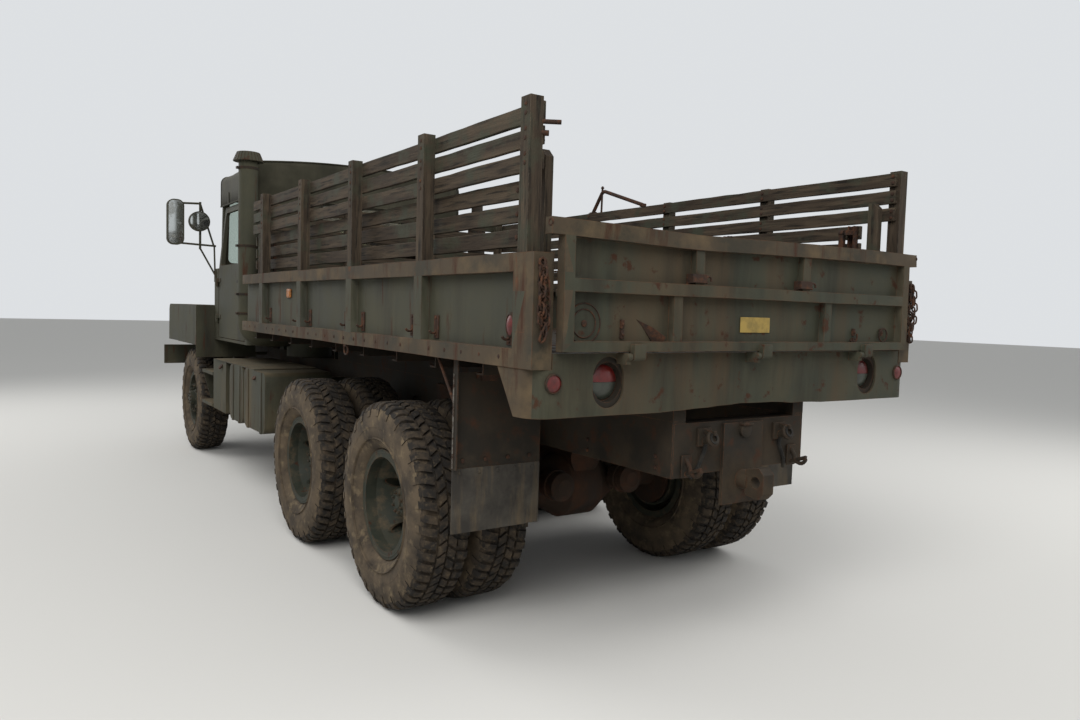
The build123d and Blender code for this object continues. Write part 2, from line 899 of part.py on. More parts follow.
def hood():
    front_x = grille_x + grille_frame
    shell = hood_prism(0, hood_rear_x, front_x, hood_base_z)
    shell += box(grille_x, front_x, -hood_half_w, hood_half_w, grille_low_z, hood_base_z)
    shell -= hood_prism(hood_skin, hood_rear_x - 1, grille_x, hood_base_z - 1)
    core = corners(-radiator_half_w, radiator_half_w, grille_open_z, hood_front_z - grille_head)
    shell -= long_section(core, grille_x - 1, front_x + 1, grille_corner)
    for side in (1, -1):
        y0 = side * hinge_arm_y - hinge_arm_w / 2
        y1 = side * hinge_arm_y + hinge_arm_w / 2
        arm = box(grille_x + grille_frame, hinge_x, y0, y1, hinge_z - 22, hinge_z + 22)
        arm += cross_bar(hinge_x, hinge_z, hinge_head_r, y0, y1)
        arm -= cross_bar(hinge_x, hinge_z, hinge_pin + running_gap, y0 - 1, y1 + 1)
        shell += arm
    return shell


# Grille: upright bars across the hood's front frame
grille_bar_count = 17
grille_bar_w = 14.0


def grille():
    pitch = 2 * radiator_half_w / (grille_bar_count + 1)
    bars = None
    for index in range(grille_bar_count):
        y = -radiator_half_w + pitch * (index + 1)
        half = grille_bar_w / 2
        top = hood_front_z - grille_head
        bar = box(grille_x + 8, grille_x + 32, y - half, y + half, grille_open_z - 2, top + 2)
        bars = bar if bars is None else bars + bar
    return bars


save("hood", [hood() + grille()])


# Hinge blocks on the rails, with the pins that the hood's arms turn on
def hood_hinge():
    inner = hinge_arm_y + hinge_arm_w / 2 + 5
    block = box(hinge_x - hinge_head_r, hinge_x + hinge_head_r, inner, rail_outer_y, rail_top_z, hinge_z)
    block += cross_bar(hinge_x, hinge_z, hinge_head_r, inner, rail_outer_y)
    pin = cross_bar(hinge_x, hinge_z, hinge_pin, hinge_arm_y - hinge_arm_w / 2 - 6, inner + 10)
    return block + pin


save("frame_rails", both_sides(rail() + hood_hinge()))

# Fenders: flat tops with a front panel, an outer skirt and inner and rear splash walls
fender_inner_y = hood_half_w + hood_gap
fender_front_x = grille_x - 20.0
fender_rear_x = cowl_front_x + 4.0
skirt_low_z = 1130.0
splash_low_z = 1010.0
lamp_y = 930.0
lamp_z = 1330.0
lamp_r = 95.0
fender_nose_r = 70.0
fender_nose_slope = 110.0
fender_foot_w = 60.0


def fender_outline(inset):
    """Side view: splash wall, flat top, rounded nose and a panel that slopes back below the lamp."""
    x0 = fender_rear_x + inset
    x1 = fender_front_x - inset
    top = fender_top_z - inset
    r = fender_nose_r - inset
    bend = r * (1 - math.sqrt(0.5))
    chin = (x1 - fender_nose_slope, splash_low_z)
    edges = Polyline((x1, skirt_low_z), chin, (x0, splash_low_z), (x0, top), (x1 - r, top))
    nose = ThreePointArc((x1 - r, top), (x1 - bend, top - bend), (x1, top - r))
    return make_face(edges.edges() + [nose, Line((x1, top - r), (x1, skirt_low_z))])


def fender():
    plane = Plane(origin=(0, fender_inner_y, 0), x_dir=(1, 0, 0), z_dir=(0, -1, 0))
    width = fender_half_w - fender_inner_y
    t = fender_skin
    whole = extrude(plane * fender_outline(0), amount=width, dir=(0, 1, 0))
    hollow = extrude(plane * fender_outline(t), amount=width - 2 * t, dir=(0, 1, 0))
    whole -= Pos(0, t, 0) * hollow
    y0 = fender_inner_y - 1
    y1 = fender_half_w + 1
    whole -= box(fender_rear_x + t, fender_front_x + 1, y0, y1, splash_low_z - 1, skirt_low_z)
    y1 = fender_inner_y + t
    for x in (fender_rear_x + 300, fender_front_x - 200):
        whole += box(x, x + fender_foot_w, rail_outer_y, y1, rail_top_z - 90, rail_top_z - 60)
        whole += box(x, x + fender_foot_w, fender_inner_y, y1, rail_top_z - 90, skirt_low_z)
    return whole


# Brush guards: hoops of round bar in front of the head lamps
guard_r = 9.0
guard_reach = 70.0


def brush_guard():
    x0 = fender_front_x
    x1 = x0 + guard_reach
    y0 = lamp_y - 130
    y1 = lamp_y + 130
    z0 = lamp_z - 150
    z1 = lamp_z + 150
    whole = None
    for z in (z0, z1):
        for y in (y0, y1):
            bar = rod((x0, y, z), (x1, y, z), guard_r)
            whole = bar if whole is None else whole + bar
    for y in (y0, (y0 + y1) / 2, y1):
        whole += rod((x1, y, z0 - guard_r), (x1, y, z1 + guard_r), guard_r)
    for z in (z0, lamp_z, z1):
        whole += rod((x1, y0 - guard_r, z), (x1, y1 + guard_r, z), guard_r)
    return whole


save("fenders", both_sides(fender() + brush_guard()))

# Cab body: floor, rear wall, rear posts, door sills, cowl and firewall, on four feet
cab_bottom_z = cab_floor_z - 25
cab_rear_top_z = belt_z + 60
cab_inner_y = cab_half_w - cab_skin
floor_sheet = 25.0
foot_length = 120.0
cab_corner_r = 70.0
cab_corner_reach = 400.0


def cab_plan(inset, z0, z1):
    """A block with rounded upright edges whose rear half is the cab's plan."""
    x = cab_rear_x + inset + cab_corner_reach / 2
    plan = RectangleRounded(cab_corner_reach, 2 * (cab_half_w - inset), cab_corner_r - inset)
    return Pos(x, 0, z0) * extrude(plan, amount=z1 - z0)


def cab_rear_wall():
    """The rear wall and both rear posts, bent from one sheet."""
    post_front = door_rear_x - door_gap
    shell = cab_plan(0, cab_bottom_z, cab_rear_top_z)
    shell -= cab_plan(cab_skin, cab_bottom_z - 1, cab_rear_top_z + 1)
    return shell & box(cab_rear_x, post_front, -cab_half_w, cab_half_w, cab_bottom_z, cab_rear_top_z)


def cab_body():
    y1 = cab_half_w
    y0 = cab_inner_y
    x0 = cab_rear_x + cab_corner_r
    whole = box(x0, cowl_front_x, -y1, y1, cab_bottom_z, cab_floor_z)
    half = y0 - cab_skin
    whole += box(cab_rear_x + cab_skin / 2, x0, -half, half, cab_bottom_z, cab_floor_z)
    whole += cab_rear_wall()
    whole += box(cowl_front_x - cab_skin, cowl_front_x, -y1, y1, cab_bottom_z, belt_z)
    whole += box(door_front_x + door_gap, cowl_front_x, -y1, y1, belt_z - cab_skin, belt_z)
    for side in (1, -1):
        whole += box(door_front_x + door_gap, cowl_front_x, side * y0, side * y1, cab_bottom_z, belt_z)
        for x in (cab_rear_x + 100, cowl_front_x - 300):
            whole += box(
                x, x + foot_length, side * rail_inner_y, side * rail_outer_y, rail_top_z, cab_bottom_z
            )
        for z in door_hinge_zs:
            leaf = box(door_front_x + 20, door_front_x + 75, side * y1, side * (y1 + 8), z - 40, z + 40)
            knuckle_low = upright_bar(door_front_x, side * door_pin_y, door_knuckle_r, z - 40, z - 1)
            bridge = box(
                door_front_x, door_front_x + 30, side * y1, side * (door_pin_y + 4), z - 40, z - 1
            )
            pin = upright_bar(door_front_x, side * door_pin_y, hinge_pin_r, z - 2, z + 40)
            whole += leaf + knuckle_low + bridge + pin
    return whole


# Doors: a lower panel and a window frame that leans in, hung on two outside hinges
door_bottom_z = cab_floor_z + 6
door_hinge_zs = (1400.0, 1750.0)
door_knuckle_r = 15.0
door_pin_y = cab_half_w + 16.0
window_border = 55.0
window_corner = 45.0
window_low_z = belt_z + 25
window_rail = 28.0


def door():
    x0 = door_rear_x
    x1 = door_front_x - door_gap
    y1 = cab_half_w
    y0 = cab_inner_y
    lean = cab_side_lean
    section = [
        (y0, door_bottom_z),
        (y1, door_bottom_z),
        (y1, belt_z),
        (y1 - lean, door_top_z),
        (y1 - lean - window_rail, door_top_z),
        (y0, belt_z),
    ]
    panel = long_section(section, x0, x1)
    window = corners(x0 + window_border, x1 - window_border, window_low_z, door_top_z - window_border)
    panel -= side_plate(window, y0 - lean - 50, y1 + 20, window_corner)
    for z in door_hinge_zs:
        leaf = box(x1 - 70, x1, y1, y1 + 8, z + 1, z + 38)
        bridge = box(x1 - 20, door_front_x, y1, door_pin_y + 4, z + 1, z + 38)
        ring = upright_bar(door_front_x, door_pin_y, door_knuckle_r, z + 1, z + 38)
        panel += leaf + bridge + ring
        panel -= upright_bar(door_front_x, door_pin_y, hinge_pin_r + running_gap, z - 5, z + 45)
    handle = box(x0 + 60, x0 + 190, y1, y1 + 30, belt_z - 150, belt_z - 125)
    return panel + handle


save("cab_body", [cab_body()])
save("door_left", [door()])
save("door_right", [other_side(door())])

# Windshield: a raked frame with two panes and a middle post
screen_x = door_front_x + 80
screen_half_w = cab_half_w - 45
screen_thick = 36.0
screen_border = 60.0
screen_post = 50.0
screen_corner = 45.0
screen_rake = 5.0
screen_height = screen_top_z - belt_z
glass_thick = 6.0


def raked(shape):
    """Tilts a piece back about the windshield's foot."""
    return Pos(screen_x, 0, belt_z) * Rot(0, -screen_rake, 0) * shape


def pane(side, thick):
    y0 = side * screen_post / 2
    y1 = side * (screen_half_w - screen_border)
    x0 = (screen_thick - thick) / 2
    outline = corners(min(y0, y1), max(y0, y1), screen_border, screen_height - screen_border)
    return long_section(outline, x0, x0 + thick, screen_corner)


def windshield_frame():
    frame = box(0, screen_thick, -screen_half_w, screen_half_w, 4, screen_height)
    frame -= pane(1, screen_thick)
    frame -= pane(-1, screen_thick)
    foot = box(screen_x, screen_x + screen_thick - 4, -screen_half_w, screen_half_w, belt_z, belt_z + 12)
    return raked(frame) + foot


save("windshield_frame", [windshield_frame()])
save("windshield_glass", [raked(pane(1, glass_thick)), raked(pane(-1, glass_thick))])

# Canvas top: a sheet over the bows, closed behind and open at the doors and windshield
canvas_half_w = cab_half_w - 35
canvas_corner_z = 2780.0
canvas_low_z = door_top_z + 12
canvas_front_x = screen_x + 10
canvas_rear_x = cab_rear_x
rear_window_half_w = 380.0
rear_window_rise = 180.0
rear_window_h = 340.0
canvas_corner = 60.0


def canvas_section(inset):
    w = canvas_half_w - inset
    top = canvas_corner_z - inset
    crown = canvas_corner_z + canvas_crown - inset
    low = cab_rear_top_z
    return [
        (-w, low),
        (-w, top - canvas_corner),
        (-w + canvas_corner, top),
        (-w * 0.5, crown - 12),
        (0, crown),
        (w * 0.5, crown - 12),
        (w - canvas_corner, top),
        (w, top - canvas_corner),
        (w, low),
    ]


def canvas_plan(inset, z1):
    """A tall block over the cab, with its two rear upright edges rounded."""
    x0 = canvas_rear_x + inset
    half = canvas_half_w - inset
    reach = canvas_front_x + cab_corner_r * 2 - x0
    plan = RectangleRounded(reach, 2 * half, cab_corner_r - inset)
    return Pos(x0 + reach / 2, 0, belt_z) * extrude(plan, amount=z1 - belt_z)


def canvas_top():
    z1 = canvas_corner_z + canvas_crown + 10
    outer_plan = canvas_plan(0, z1)
    inner_plan = canvas_plan(canvas_thick, z1)
    shell = long_section(canvas_section(0), canvas_rear_x, canvas_front_x) & outer_plan
    shell -= long_section(canvas_section(canvas_thick), canvas_rear_x, canvas_front_x + 5) & inner_plan
    rear_post_x = door_rear_x - door_gap
    shell -= box(rear_post_x, canvas_front_x + 5, -cab_half_w, cab_half_w, belt_z, canvas_low_z)
    low = cab_rear_top_z + rear_window_rise
    window = corners(-rear_window_half_w, rear_window_half_w, low, low + rear_window_h)
    shell -= long_section(window, canvas_rear_x - 5, canvas_rear_x + 50, window_corner)
    screen_room = screen_top_z + 8
    return shell - box(screen_x - 100, screen_x + 200, -cab_half_w, cab_half_w, belt_z, screen_room)


save("canvas_top", [canvas_top()])

# Cab seats: a driver's seat and a wider one, each a base with a cushion and a back
seat_base_h = 270.0
cushion_h = 110.0
cushion_depth = 480.0
back_thick = 110.0
back_height = 560.0
seat_corner = 50.0
cab_seat_x = cab_rear_x + cab_skin + 60
# Inner and outer side of the driver's seat and of the bench
cab_seat_ys = ((200.0, cab_inner_y - 270), (-60.0, 90 - cab_inner_y))


def cab_seats():
    shapes = []
    for first, second in cab_seat_ys:
        y0 = min(first, second)
        y1 = max(first, second)
        x1 = cab_seat_x + back_thick + cushion_depth
        top = cab_floor_z + seat_base_h
        base = box(cab_seat_x + 40, x1 - 60, y0 + 30, y1 - 30, cab_floor_z, top)
        cushion = box(cab_seat_x, x1, y0, y1, top, top + cushion_h)
        cushion = fillet(cushion.edges().filter_by(Axis.Z), seat_corner)
        foot = top + cushion_h
        back = box(cab_seat_x, cab_seat_x + back_thick, y0, y1, foot, foot + back_height)
        back = fillet(back.edges().filter_by(Axis.X), seat_corner)
        shapes.append(base + cushion + back)
    return shapes


save("cab_seats", cab_seats())

# Dashboard, steering column and steering wheel
dash_depth = 120.0
column_y = 460.0
wheel_x = door_front_x - 270.0
wheel_z = 1830.0
wheel_r = 235.0
wheel_grip_r = 15.0
column_r = 22.0
column_foot_z = 1400.0


def dashboard():
    x1 = door_front_x + 5
    dash = box(x1 - dash_depth, x1, -cab_inner_y + 40, cab_inner_y - 40, belt_z - 300, belt_z - 60)
    dash += box(x1, cowl_front_x - cab_skin, -cab_inner_y + 40, cab_inner_y - 40, belt_z - 120, belt_z - 60)
    foot = Vector(cowl_front_x - cab_skin, column_y, column_foot_z)
    head = Vector(wheel_x, column_y, wheel_z)
    run = head - foot
    column = rod(tuple(foot), tuple(head), column_r)
    within = box(wheel_x - 50, cowl_front_x - cab_skin, 0, cab_inner_y, cab_floor_z, door_top_z)
    column = column & within
    plane = Plane(origin=tuple(head), z_dir=run)
    wheel = plane * Torus(wheel_r, wheel_grip_r)
    spoke = plane * Box(2 * wheel_r, 30, 16)
    return dash + column + wheel + spoke


save("dashboard", [dashboard()])

# Mirrors: a long head and a round one on a tube frame at each front corner of the cab
mirror_x = door_front_x + 112.0
mirror_rod_y = cab_half_w + 150.0
mirror_head_y = cab_half_w + 375.0
mirror_head_w = 150.0
mirror_head_z = 2310.0
mirror_head_h = 430.0
mirror_tube_r = 11.0
mirror_round_r = 95.0
mirror_round_z = 2330.0
mirror_low_z = 2075.0
mirror_top_z = 2520.0


def mirror_set():
    r = mirror_tube_r
    foot_y = cab_half_w
    head = box(
        mirror_x - 40,
        mirror_x + 20,
        mirror_head_y - mirror_head_w / 2,
        mirror_head_y + mirror_head_w / 2,
        mirror_head_z - mirror_head_h / 2,
        mirror_head_z + mirror_head_h / 2,
    )
    head = fillet(head.edges().filter_by(Axis.X), mirror_head_w * 0.4)
    disc_plane = Plane(origin=(mirror_x - 60, mirror_rod_y + 15, mirror_round_z), z_dir=(1, 0, 0))
    round_head = extrude(disc_plane * Circle(mirror_round_r), amount=54)
    post = upright_bar(mirror_x, mirror_rod_y, r, mirror_low_z - 10, mirror_top_z)
    runs = [
        ((mirror_x, mirror_rod_y, mirror_top_z - 15), (mirror_x, mirror_head_y - 40, mirror_top_z - 25)),
        ((mirror_x, foot_y + 4, mirror_low_z + 30), (mirror_x, mirror_head_y - 40, mirror_low_z + 40)),
        ((mirror_x, mirror_rod_y, mirror_top_z - 15), (mirror_x, foot_y + 25, mirror_low_z + 32)),
        ((mirror_x, mirror_rod_y, mirror_low_z), (mirror_x, foot_y + 12, belt_z - 60)),
        ((mirror_x, foot_y + 20, mirror_low_z + 40), (mirror_x, foot_y + 10, belt_z - 100)),
    ]
    whole = head + round_head + post
    for index, (start, end) in enumerate(runs):
        whole += rod(start, end, r - 1 - 0.5 * index)
    whole += box(mirror_x - 25, mirror_x + 25, foot_y, foot_y + 14, belt_z - 130, belt_z - 30)
    return whole


save("mirrors", both_sides(mirror_set()))

# Intake stack: cap, tube and elbow, led into the air cleaner between cab and bed
stack_x = cab_rear_x - 210.0
stack_y = 1090.0
stack_r = 77.0
stack_top_z = 2725.0
stack_bend_z = 1400.0
stack_bend_r = 130.0
cap_r = 120.0
cap_h = 75.0
cleaner_y = 560.0
cleaner_r = 190.0
cleaner_low_z = rail_top_z + 12
cleaner_top_z = 1800.0


def intake_stack():
    path = FilletPolyline(
        (stack_x, stack_y, stack_top_z),
        (stack_x, stack_y, stack_bend_z - stack_bend_r),
        (stack_x, cleaner_y, stack_bend_z - stack_bend_r),
        radius=stack_bend_r,
    )
    tube = sweep(Plane(origin=path @ 0, z_dir=path % 0) * Circle(stack_r), path=path)
    cap = Pos(stack_x, stack_y, stack_top_z + cap_h / 2) * Cone(cap_r, cap_r * 0.75, cap_h)
    cleaner = upright_bar(stack_x, cleaner_y, cleaner_r, cleaner_low_z, cleaner_top_z)
    foot = box(stack_x - 110, stack_x + 110, rail_inner_y, cleaner_y + 100, rail_top_z, cleaner_low_z)
    return tube + cap + cleaner + foot


save("intake_stack", [intake_stack()])

# Exhaust stack on the other side, with a guard sleeve and a curved outlet
exhaust_r = 55.0
exhaust_guard_r = 82.0
exhaust_guard_low_z = 1500.0
exhaust_guard_top_z = 2450.0
exhaust_top_z = 2700.0
exhaust_bend_z = 1330.0
exhaust_run = 330.0


def exhaust_stack():
    y = -stack_y
    path = FilletPolyline(
        (stack_x, y, exhaust_top_z),
        (stack_x, y, exhaust_bend_z - 120),
        (stack_x, y + exhaust_run, exhaust_bend_z - 120),
        radius=115,
    )
    tube = sweep(Plane(origin=path @ 0, z_dir=path % 0) * Circle(exhaust_r), path=path)
    guard = upright_bar(stack_x, y, exhaust_guard_r, exhaust_guard_low_z, exhaust_guard_top_z)
    end_y = y + exhaust_run
    foot = box(stack_x - 60, stack_x + 60, end_y - 60, -rail_inner_y, rail_top_z, rail_top_z + 12)
    foot += box(stack_x - 40, stack_x + 40, end_y - 50, end_y - 20, rail_top_z, exhaust_bend_z - 120)
    return tube + guard + foot


save("exhaust_stack", [exhaust_stack()])

# Spare wheel, upright behind the cab on a bracket that stands on the rails
spare_y = -330.0
spare_x = cab_rear_x - 230.0
spare_z = rail_top_z + 80 + tyre_r
spare_plate_x = spare_x - tyre_width / 2 - 30


def spare_wheel():
    ring = tyre(0, 0)
    ring = Pos(0, 0, -axle_z) * ring
    rim = Pos(0, 0, -axle_z) * (turned(barrel(0), 0, axle_z) + turned(disc(20, 0, -1), 0, axle_z))
    place = Pos(spare_x, spare_y, spare_z) * Rot(0, 0, 90)
    return place * ring, place * rim


def spare_carrier():
    x0 = bed_front_x + 60
    plate = box(x0, x0 + 14, spare_y - 200, spare_y + 200, rail_top_z + 80, spare_z + 160)
    foot = box(x0, x0 + 190, -rail_outer_y, -rail_inner_y, rail_top_z, rail_top_z + 60)
    foot += box(x0, x0 + 14, -rail_outer_y, rail_outer_y, rail_top_z, rail_top_z + 90)
    arm = rod((x0, spare_y, spare_z), (spare_x + 20, spare_y, spare_z), hub_r + 10)
    return plate + foot + arm


spare_tyre, spare_rim = spare_wheel()
save("spare_tyre", [spare_tyre])
save("spare_carrier", [spare_carrier() + spare_rim])

# Fuel tanks on the left, with round-cornered ends and a walkway plate above
tank_in_y = 640.0
tank_out_y = 1160.0
tank_low_z = 560.0
tank_top_z = 1030.0
tank_corner = 70.0
# Rear and front end of each tank, back from the front axle
tank_spans = ((2913.0, 2298.0), (2268.0, 1813.0))
walk_thick = 8.0
walk_rear = 2583.0
walk_front = 1253.0
tank_strap_inset = 95.0
tank_strap_w = 45.0
tank_strap_thick = 6.0


def tank_strap(x):
    """A steel band over the top, the outer face and the bottom of a tank."""
    t = tank_strap_thick
    outline = corners(tank_in_y, tank_out_y + t, tank_low_z - t, tank_top_z)
    x1 = x + tank_strap_w
    band = long_section(outline, x, x1)
    return band - box(x - 1, x1 + 1, tank_in_y - 1, tank_out_y - 1, tank_low_z + 1, tank_top_z + 1)


def fuel_tank():
    whole = None
    for start, end in tank_spans:
        x0 = front_axle_x - start
        x1 = front_axle_x - end
        tank = box(x0, x1, tank_in_y, tank_out_y, tank_low_z, tank_top_z)
        tank = fillet(tank.edges().filter_by(Axis.Y), tank_corner)
        for x in (x0 + tank_strap_inset, x1 - tank_strap_inset - tank_strap_w):
            tank += tank_strap(x)
        tank += box(x0 + 120, x0 + 180, rail_outer_y, tank_in_y, rail_bottom_z + 60, rail_bottom_z + 130)
        whole = tank if whole is None else whole + tank
    whole += box(
        front_axle_x - walk_rear,
        front_axle_x - walk_front,
        tank_in_y,
        tank_out_y,
        tank_top_z,
        tank_top_z + walk_thick,
    )
    return whole


# Battery box on the left and tool box on the right, under the cab's rear
store_rear = 1633.0
store_front = 1153.0
store_low_z = 570.0


def store_box():
    x0 = front_axle_x - store_rear
    x1 = front_axle_x - store_front
    body = box(x0, x1, tank_in_y, tank_out_y - 10, store_low_z, tank_top_z)
    body += box(x0 + 150, x0 + 300, rail_outer_y, tank_in_y, rail_bottom_z + 60, rail_bottom_z + 130)
    return body


# Cab steps: two treads on a bracket, below each door
step_rear = 1113.0
step_front = 658.0
step_in_y = 760.0
step_out_y = 1150.0
step_low_z = 600.0
step_top_z = 900.0
tread_thick = 30.0


def cab_step():
    x0 = front_axle_x - step_rear
    x1 = front_axle_x - step_front
    whole = None
    for z in (step_low_z, step_top_z):
        tread = box(x0, x1, step_in_y, step_out_y, z - tread_thick, z)
        whole = tread if whole is None else whole + tread
    for x in (x0, x1 - 12):
        whole += side_strap(x)
    whole += box(x0, x1 - 140, rail_outer_y, step_in_y, step_top_z - tread_thick, step_top_z)
    return whole


def side_strap(x):
    outline = [
        (step_in_y, step_low_z - tread_thick),
        (step_out_y - 90, step_low_z - tread_thick),
        (step_out_y, step_top_z),
        (step_in_y, step_top_z),
    ]
    return long_section(outline, x, x + 12)


save("side_boxes", both_sides(store_box()) + both_sides(cab_step()))

# Air tanks on the right, in line along the rail
air_tank_r = 150.0
air_tank_y = -900.0
air_tank_z = 830.0
air_tank_dome = 90.0


def air_tanks():
    shapes = []
    for start, end in tank_spans:
        x0 = front_axle_x - start
        x1 = front_axle_x - end
        shares = ((0, 0), (0, 0.5), (0.25, 0.86), (0.55, 1))
        start_end = [(x0 + air_tank_dome * along, air_tank_r * out) for along, out in shares]
        far_end = [(x1 - air_tank_dome * along, air_tank_r * out) for along, out in shares]
        tank = turned_along(start_end + far_end[::-1], air_tank_y, air_tank_z)
        mid = (x0 + x1) / 2
        tank += box(mid - 40, mid + 40, air_tank_y, -rail_outer_y, rail_bottom_z + 60, rail_bottom_z + 120)
        shapes.append(tank)
    return shapes


save("tanks", [fuel_tank()] + air_tanks())

# Bed frame: two long sills on the rails, and channel cross sills that rest on them
long_sill_z = floor_under_z - cross_sill_depth
cross_sill_w = 60.0
cross_sill_sheet = 8.0
cross_sill_count = 10
sill_inset = 20.0


def cross_sill(x):
    """A channel across the bed, open to the front."""
    x1 = x + cross_sill_w
    t = cross_sill_sheet
    outline = [
        (x, long_sill_z),
        (x, floor_under_z),
        (x1, floor_under_z),
        (x1, floor_under_z - t),
        (x + t, floor_under_z - t),
        (x + t, long_sill_z + t),
        (x1, long_sill_z + t),
        (x1, long_sill_z),
    ]
    return side_plate(outline, -bed_inner_y, bed_inner_y)


def bed_frame():
    x0 = bed_rear_x + floor_inset
    x1 = bed_front_x - sill_inset
    top = long_sill_z - seat_clear
    shapes = both_sides(box(x0, x1, rail_inner_y, rail_outer_y, rail_top_z, top))
    pitch = (x1 - x0 - cross_sill_w) / (cross_sill_count - 1)
    return shapes + [cross_sill(x0 + index * pitch) for index in range(cross_sill_count)]


# Bed sides: top and bottom rails, a set-back sheet and a pocket for each stake
stake_out_y = bed_half_w - 2.0
stake_in_y = stake_out_y - stake_y_w
pocket_w = 84.0
rear_post_l = 140.0
side_mid_y = bed_inner_y + 45.0
stake_xs = [bed_rear_x + rear_stake_inset + index * stake_pitch for index in range(stake_count)]


def bed_side():
    y1 = bed_half_w
    y0 = bed_inner_y
    bottom_top = bottom_rail_z + bottom_rail_h
    side = box(bed_rear_x, bed_front_x, y0, y1, bottom_rail_z, bottom_top)
    side += box(bed_rear_x, bed_front_x, y0, y1, top_rail_z - top_rail_h, top_rail_z)
    top_low = top_rail_z - top_rail_h
    half_sheet = side_sheet / 2
    panel_y = (side_mid_y - half_sheet, side_mid_y + half_sheet)
    side += box(bed_rear_x, bed_front_x, *panel_y, bottom_top, top_low)
    side += box(bed_rear_x, bed_rear_x + rear_post_l, y0, y1, bottom_top, top_low)
    for x in stake_xs:
        side += box(x - pocket_w / 2, x + pocket_w / 2, side_mid_y, y1, bottom_top, top_low)
        side -= box(
            x - stake_x_w / 2 - stake_fit,
            x + stake_x_w / 2 + stake_fit,
            stake_in_y - stake_fit,
            y1 + 5,
            stake_foot_z,
            top_rail_z + 5,
        )
        side += box(x - pocket_w / 2, x + pocket_w / 2, y1 - 1, y1, stake_foot_z, top_rail_z)
    return side


# Headboard across the front of the bed: a sheet with a top rail, a foot rail and upright ribs
headboard_thick = 60.0
headboard_sheet = 6.0
headboard_rail = 60.0
headboard_rib_w = 50.0
headboard_rib_count = 5


def headboard():
    x0 = bed_front_x - headboard_thick
    half = bed_inner_y
    whole = box(x0, x0 + headboard_sheet, -half, half, floor_under_z, top_rail_z)
    whole += box(x0, bed_front_x, -half, half, top_rail_z - headboard_rail, top_rail_z)
    whole += box(x0, bed_front_x, -half, half, floor_under_z, floor_under_z + headboard_rail)
    pitch = (2 * half - headboard_rib_w) / (headboard_rib_count - 1)
    for index in range(headboard_rib_count):
        y = -half + index * pitch
        whole += box(x0, bed_front_x, y, y + headboard_rib_w, floor_under_z, top_rail_z)
    return whole


save("headboard", [headboard()])


# Rack stakes: square posts that stand in the pockets
def stake(x):
    return box(
        x - stake_x_w / 2, x + stake_x_w / 2, stake_in_y, stake_out_y - 1.5, stake_foot_z, stake_top_z
    )


# A shorter post stands inside each rear corner, and four stakes rise behind the headboard
end_post_inset = 121.0
end_post_w = 60.0
end_post_y_w = 37.0
end_post_in_y = bed_inner_y - 67
end_post_top_z = 2190.0
end_post_bevel = 30.0
front_stake_ys = (bed_inner_y - 45, 380.0)
front_stake_thick = 45.0
front_stake_x = bed_front_x - headboard_thick - front_stake_thick


def end_post():
    x0 = bed_rear_x + end_post_inset
    x1 = x0 + end_post_w
    outline = [
        (x0, floor_under_z),
        (x1, floor_under_z),
        (x1, end_post_top_z),
        (x0 + end_post_bevel, end_post_top_z),
        (x0, end_post_top_z - end_post_bevel),
    ]
    return side_plate(outline, end_post_in_y, end_post_in_y + end_post_y_w)


def front_stake(y):
    half = stake_x_w / 2
    x1 = front_stake_x + front_stake_thick
    return box(front_stake_x, x1, y - half, y + half, floor_under_z, stake_top_z)


# Bed floor: one deck between the sides, notched round each post that stands in it
def post_notch(x0, x1, y0, y1):
    z1 = bed_floor_z + 1
    fit = seat_clear
    return box(x0 - fit, x1 + fit, y0 - fit, y1 + fit, floor_under_z - 1, z1)


def bed_floor():
    deck_front = bed_front_x - headboard_thick - seat_clear
    half = stake_x_w / 2
    deck = box(bed_rear_x + floor_inset, deck_front, -bed_inner_y, bed_inner_y, floor_under_z, bed_floor_z)
    x0 = bed_rear_x + end_post_inset
    notches = [post_notch(x0, x0 + end_post_w, end_post_in_y, bed_inner_y)]
    for y in front_stake_ys:
        notches.append(post_notch(front_stake_x, deck_front, y - half, y + half))
    for notch in notches:
        deck -= notch
        deck -= other_side(notch)
    return deck


save("bed_floor", [bed_floor()])

posts = [stake(x) for x in stake_xs] + [end_post()] + [front_stake(y) for y in front_stake_ys]
save("rack_stakes", [shape for post in posts for shape in both_sides(post)])

# Rack slats: boards on the inner faces of the stakes
slat_y1 = stake_in_y
slat_y0 = stake_in_y - slat_thick
rack_rear_x = bed_rear_x + 12
rack_front_x = bed_front_x - 70


def rack_slats():
    shapes = []
    pitch = rack_slat_h + rack_slat_gap
    for index in range(rack_slat_count):
        top = rack_top_z - index * pitch
        shapes += both_sides(box(rack_rear_x, rack_front_x, slat_y0, slat_y1, top - rack_slat_h, top))
    x0 = front_stake_x + front_stake_thick
    for index in range(front_slat_count):
        top = rack_top_z - index * pitch
        shapes.append(box(x0, x0 + slat_thick, -bed_inner_y, bed_inner_y, top - rack_slat_h, top))
    return shapes


save("rack_slats", rack_slats())

# Bent bar: a length of round bar left standing on the right rack, with a plate at each foot
bent_bar_r = 14.0
bent_bar_y = -(slat_y0 + slat_thick / 2)
bent_bar_bend_r = 45.0
bent_foot_x = middle_axle_x - 48.0
bent_knee_x = middle_axle_x - 168.0
bent_knee_z = rack_top_z + 165.0
bent_end_x = middle_axle_x - 643.0
bent_plate_h = 8.0


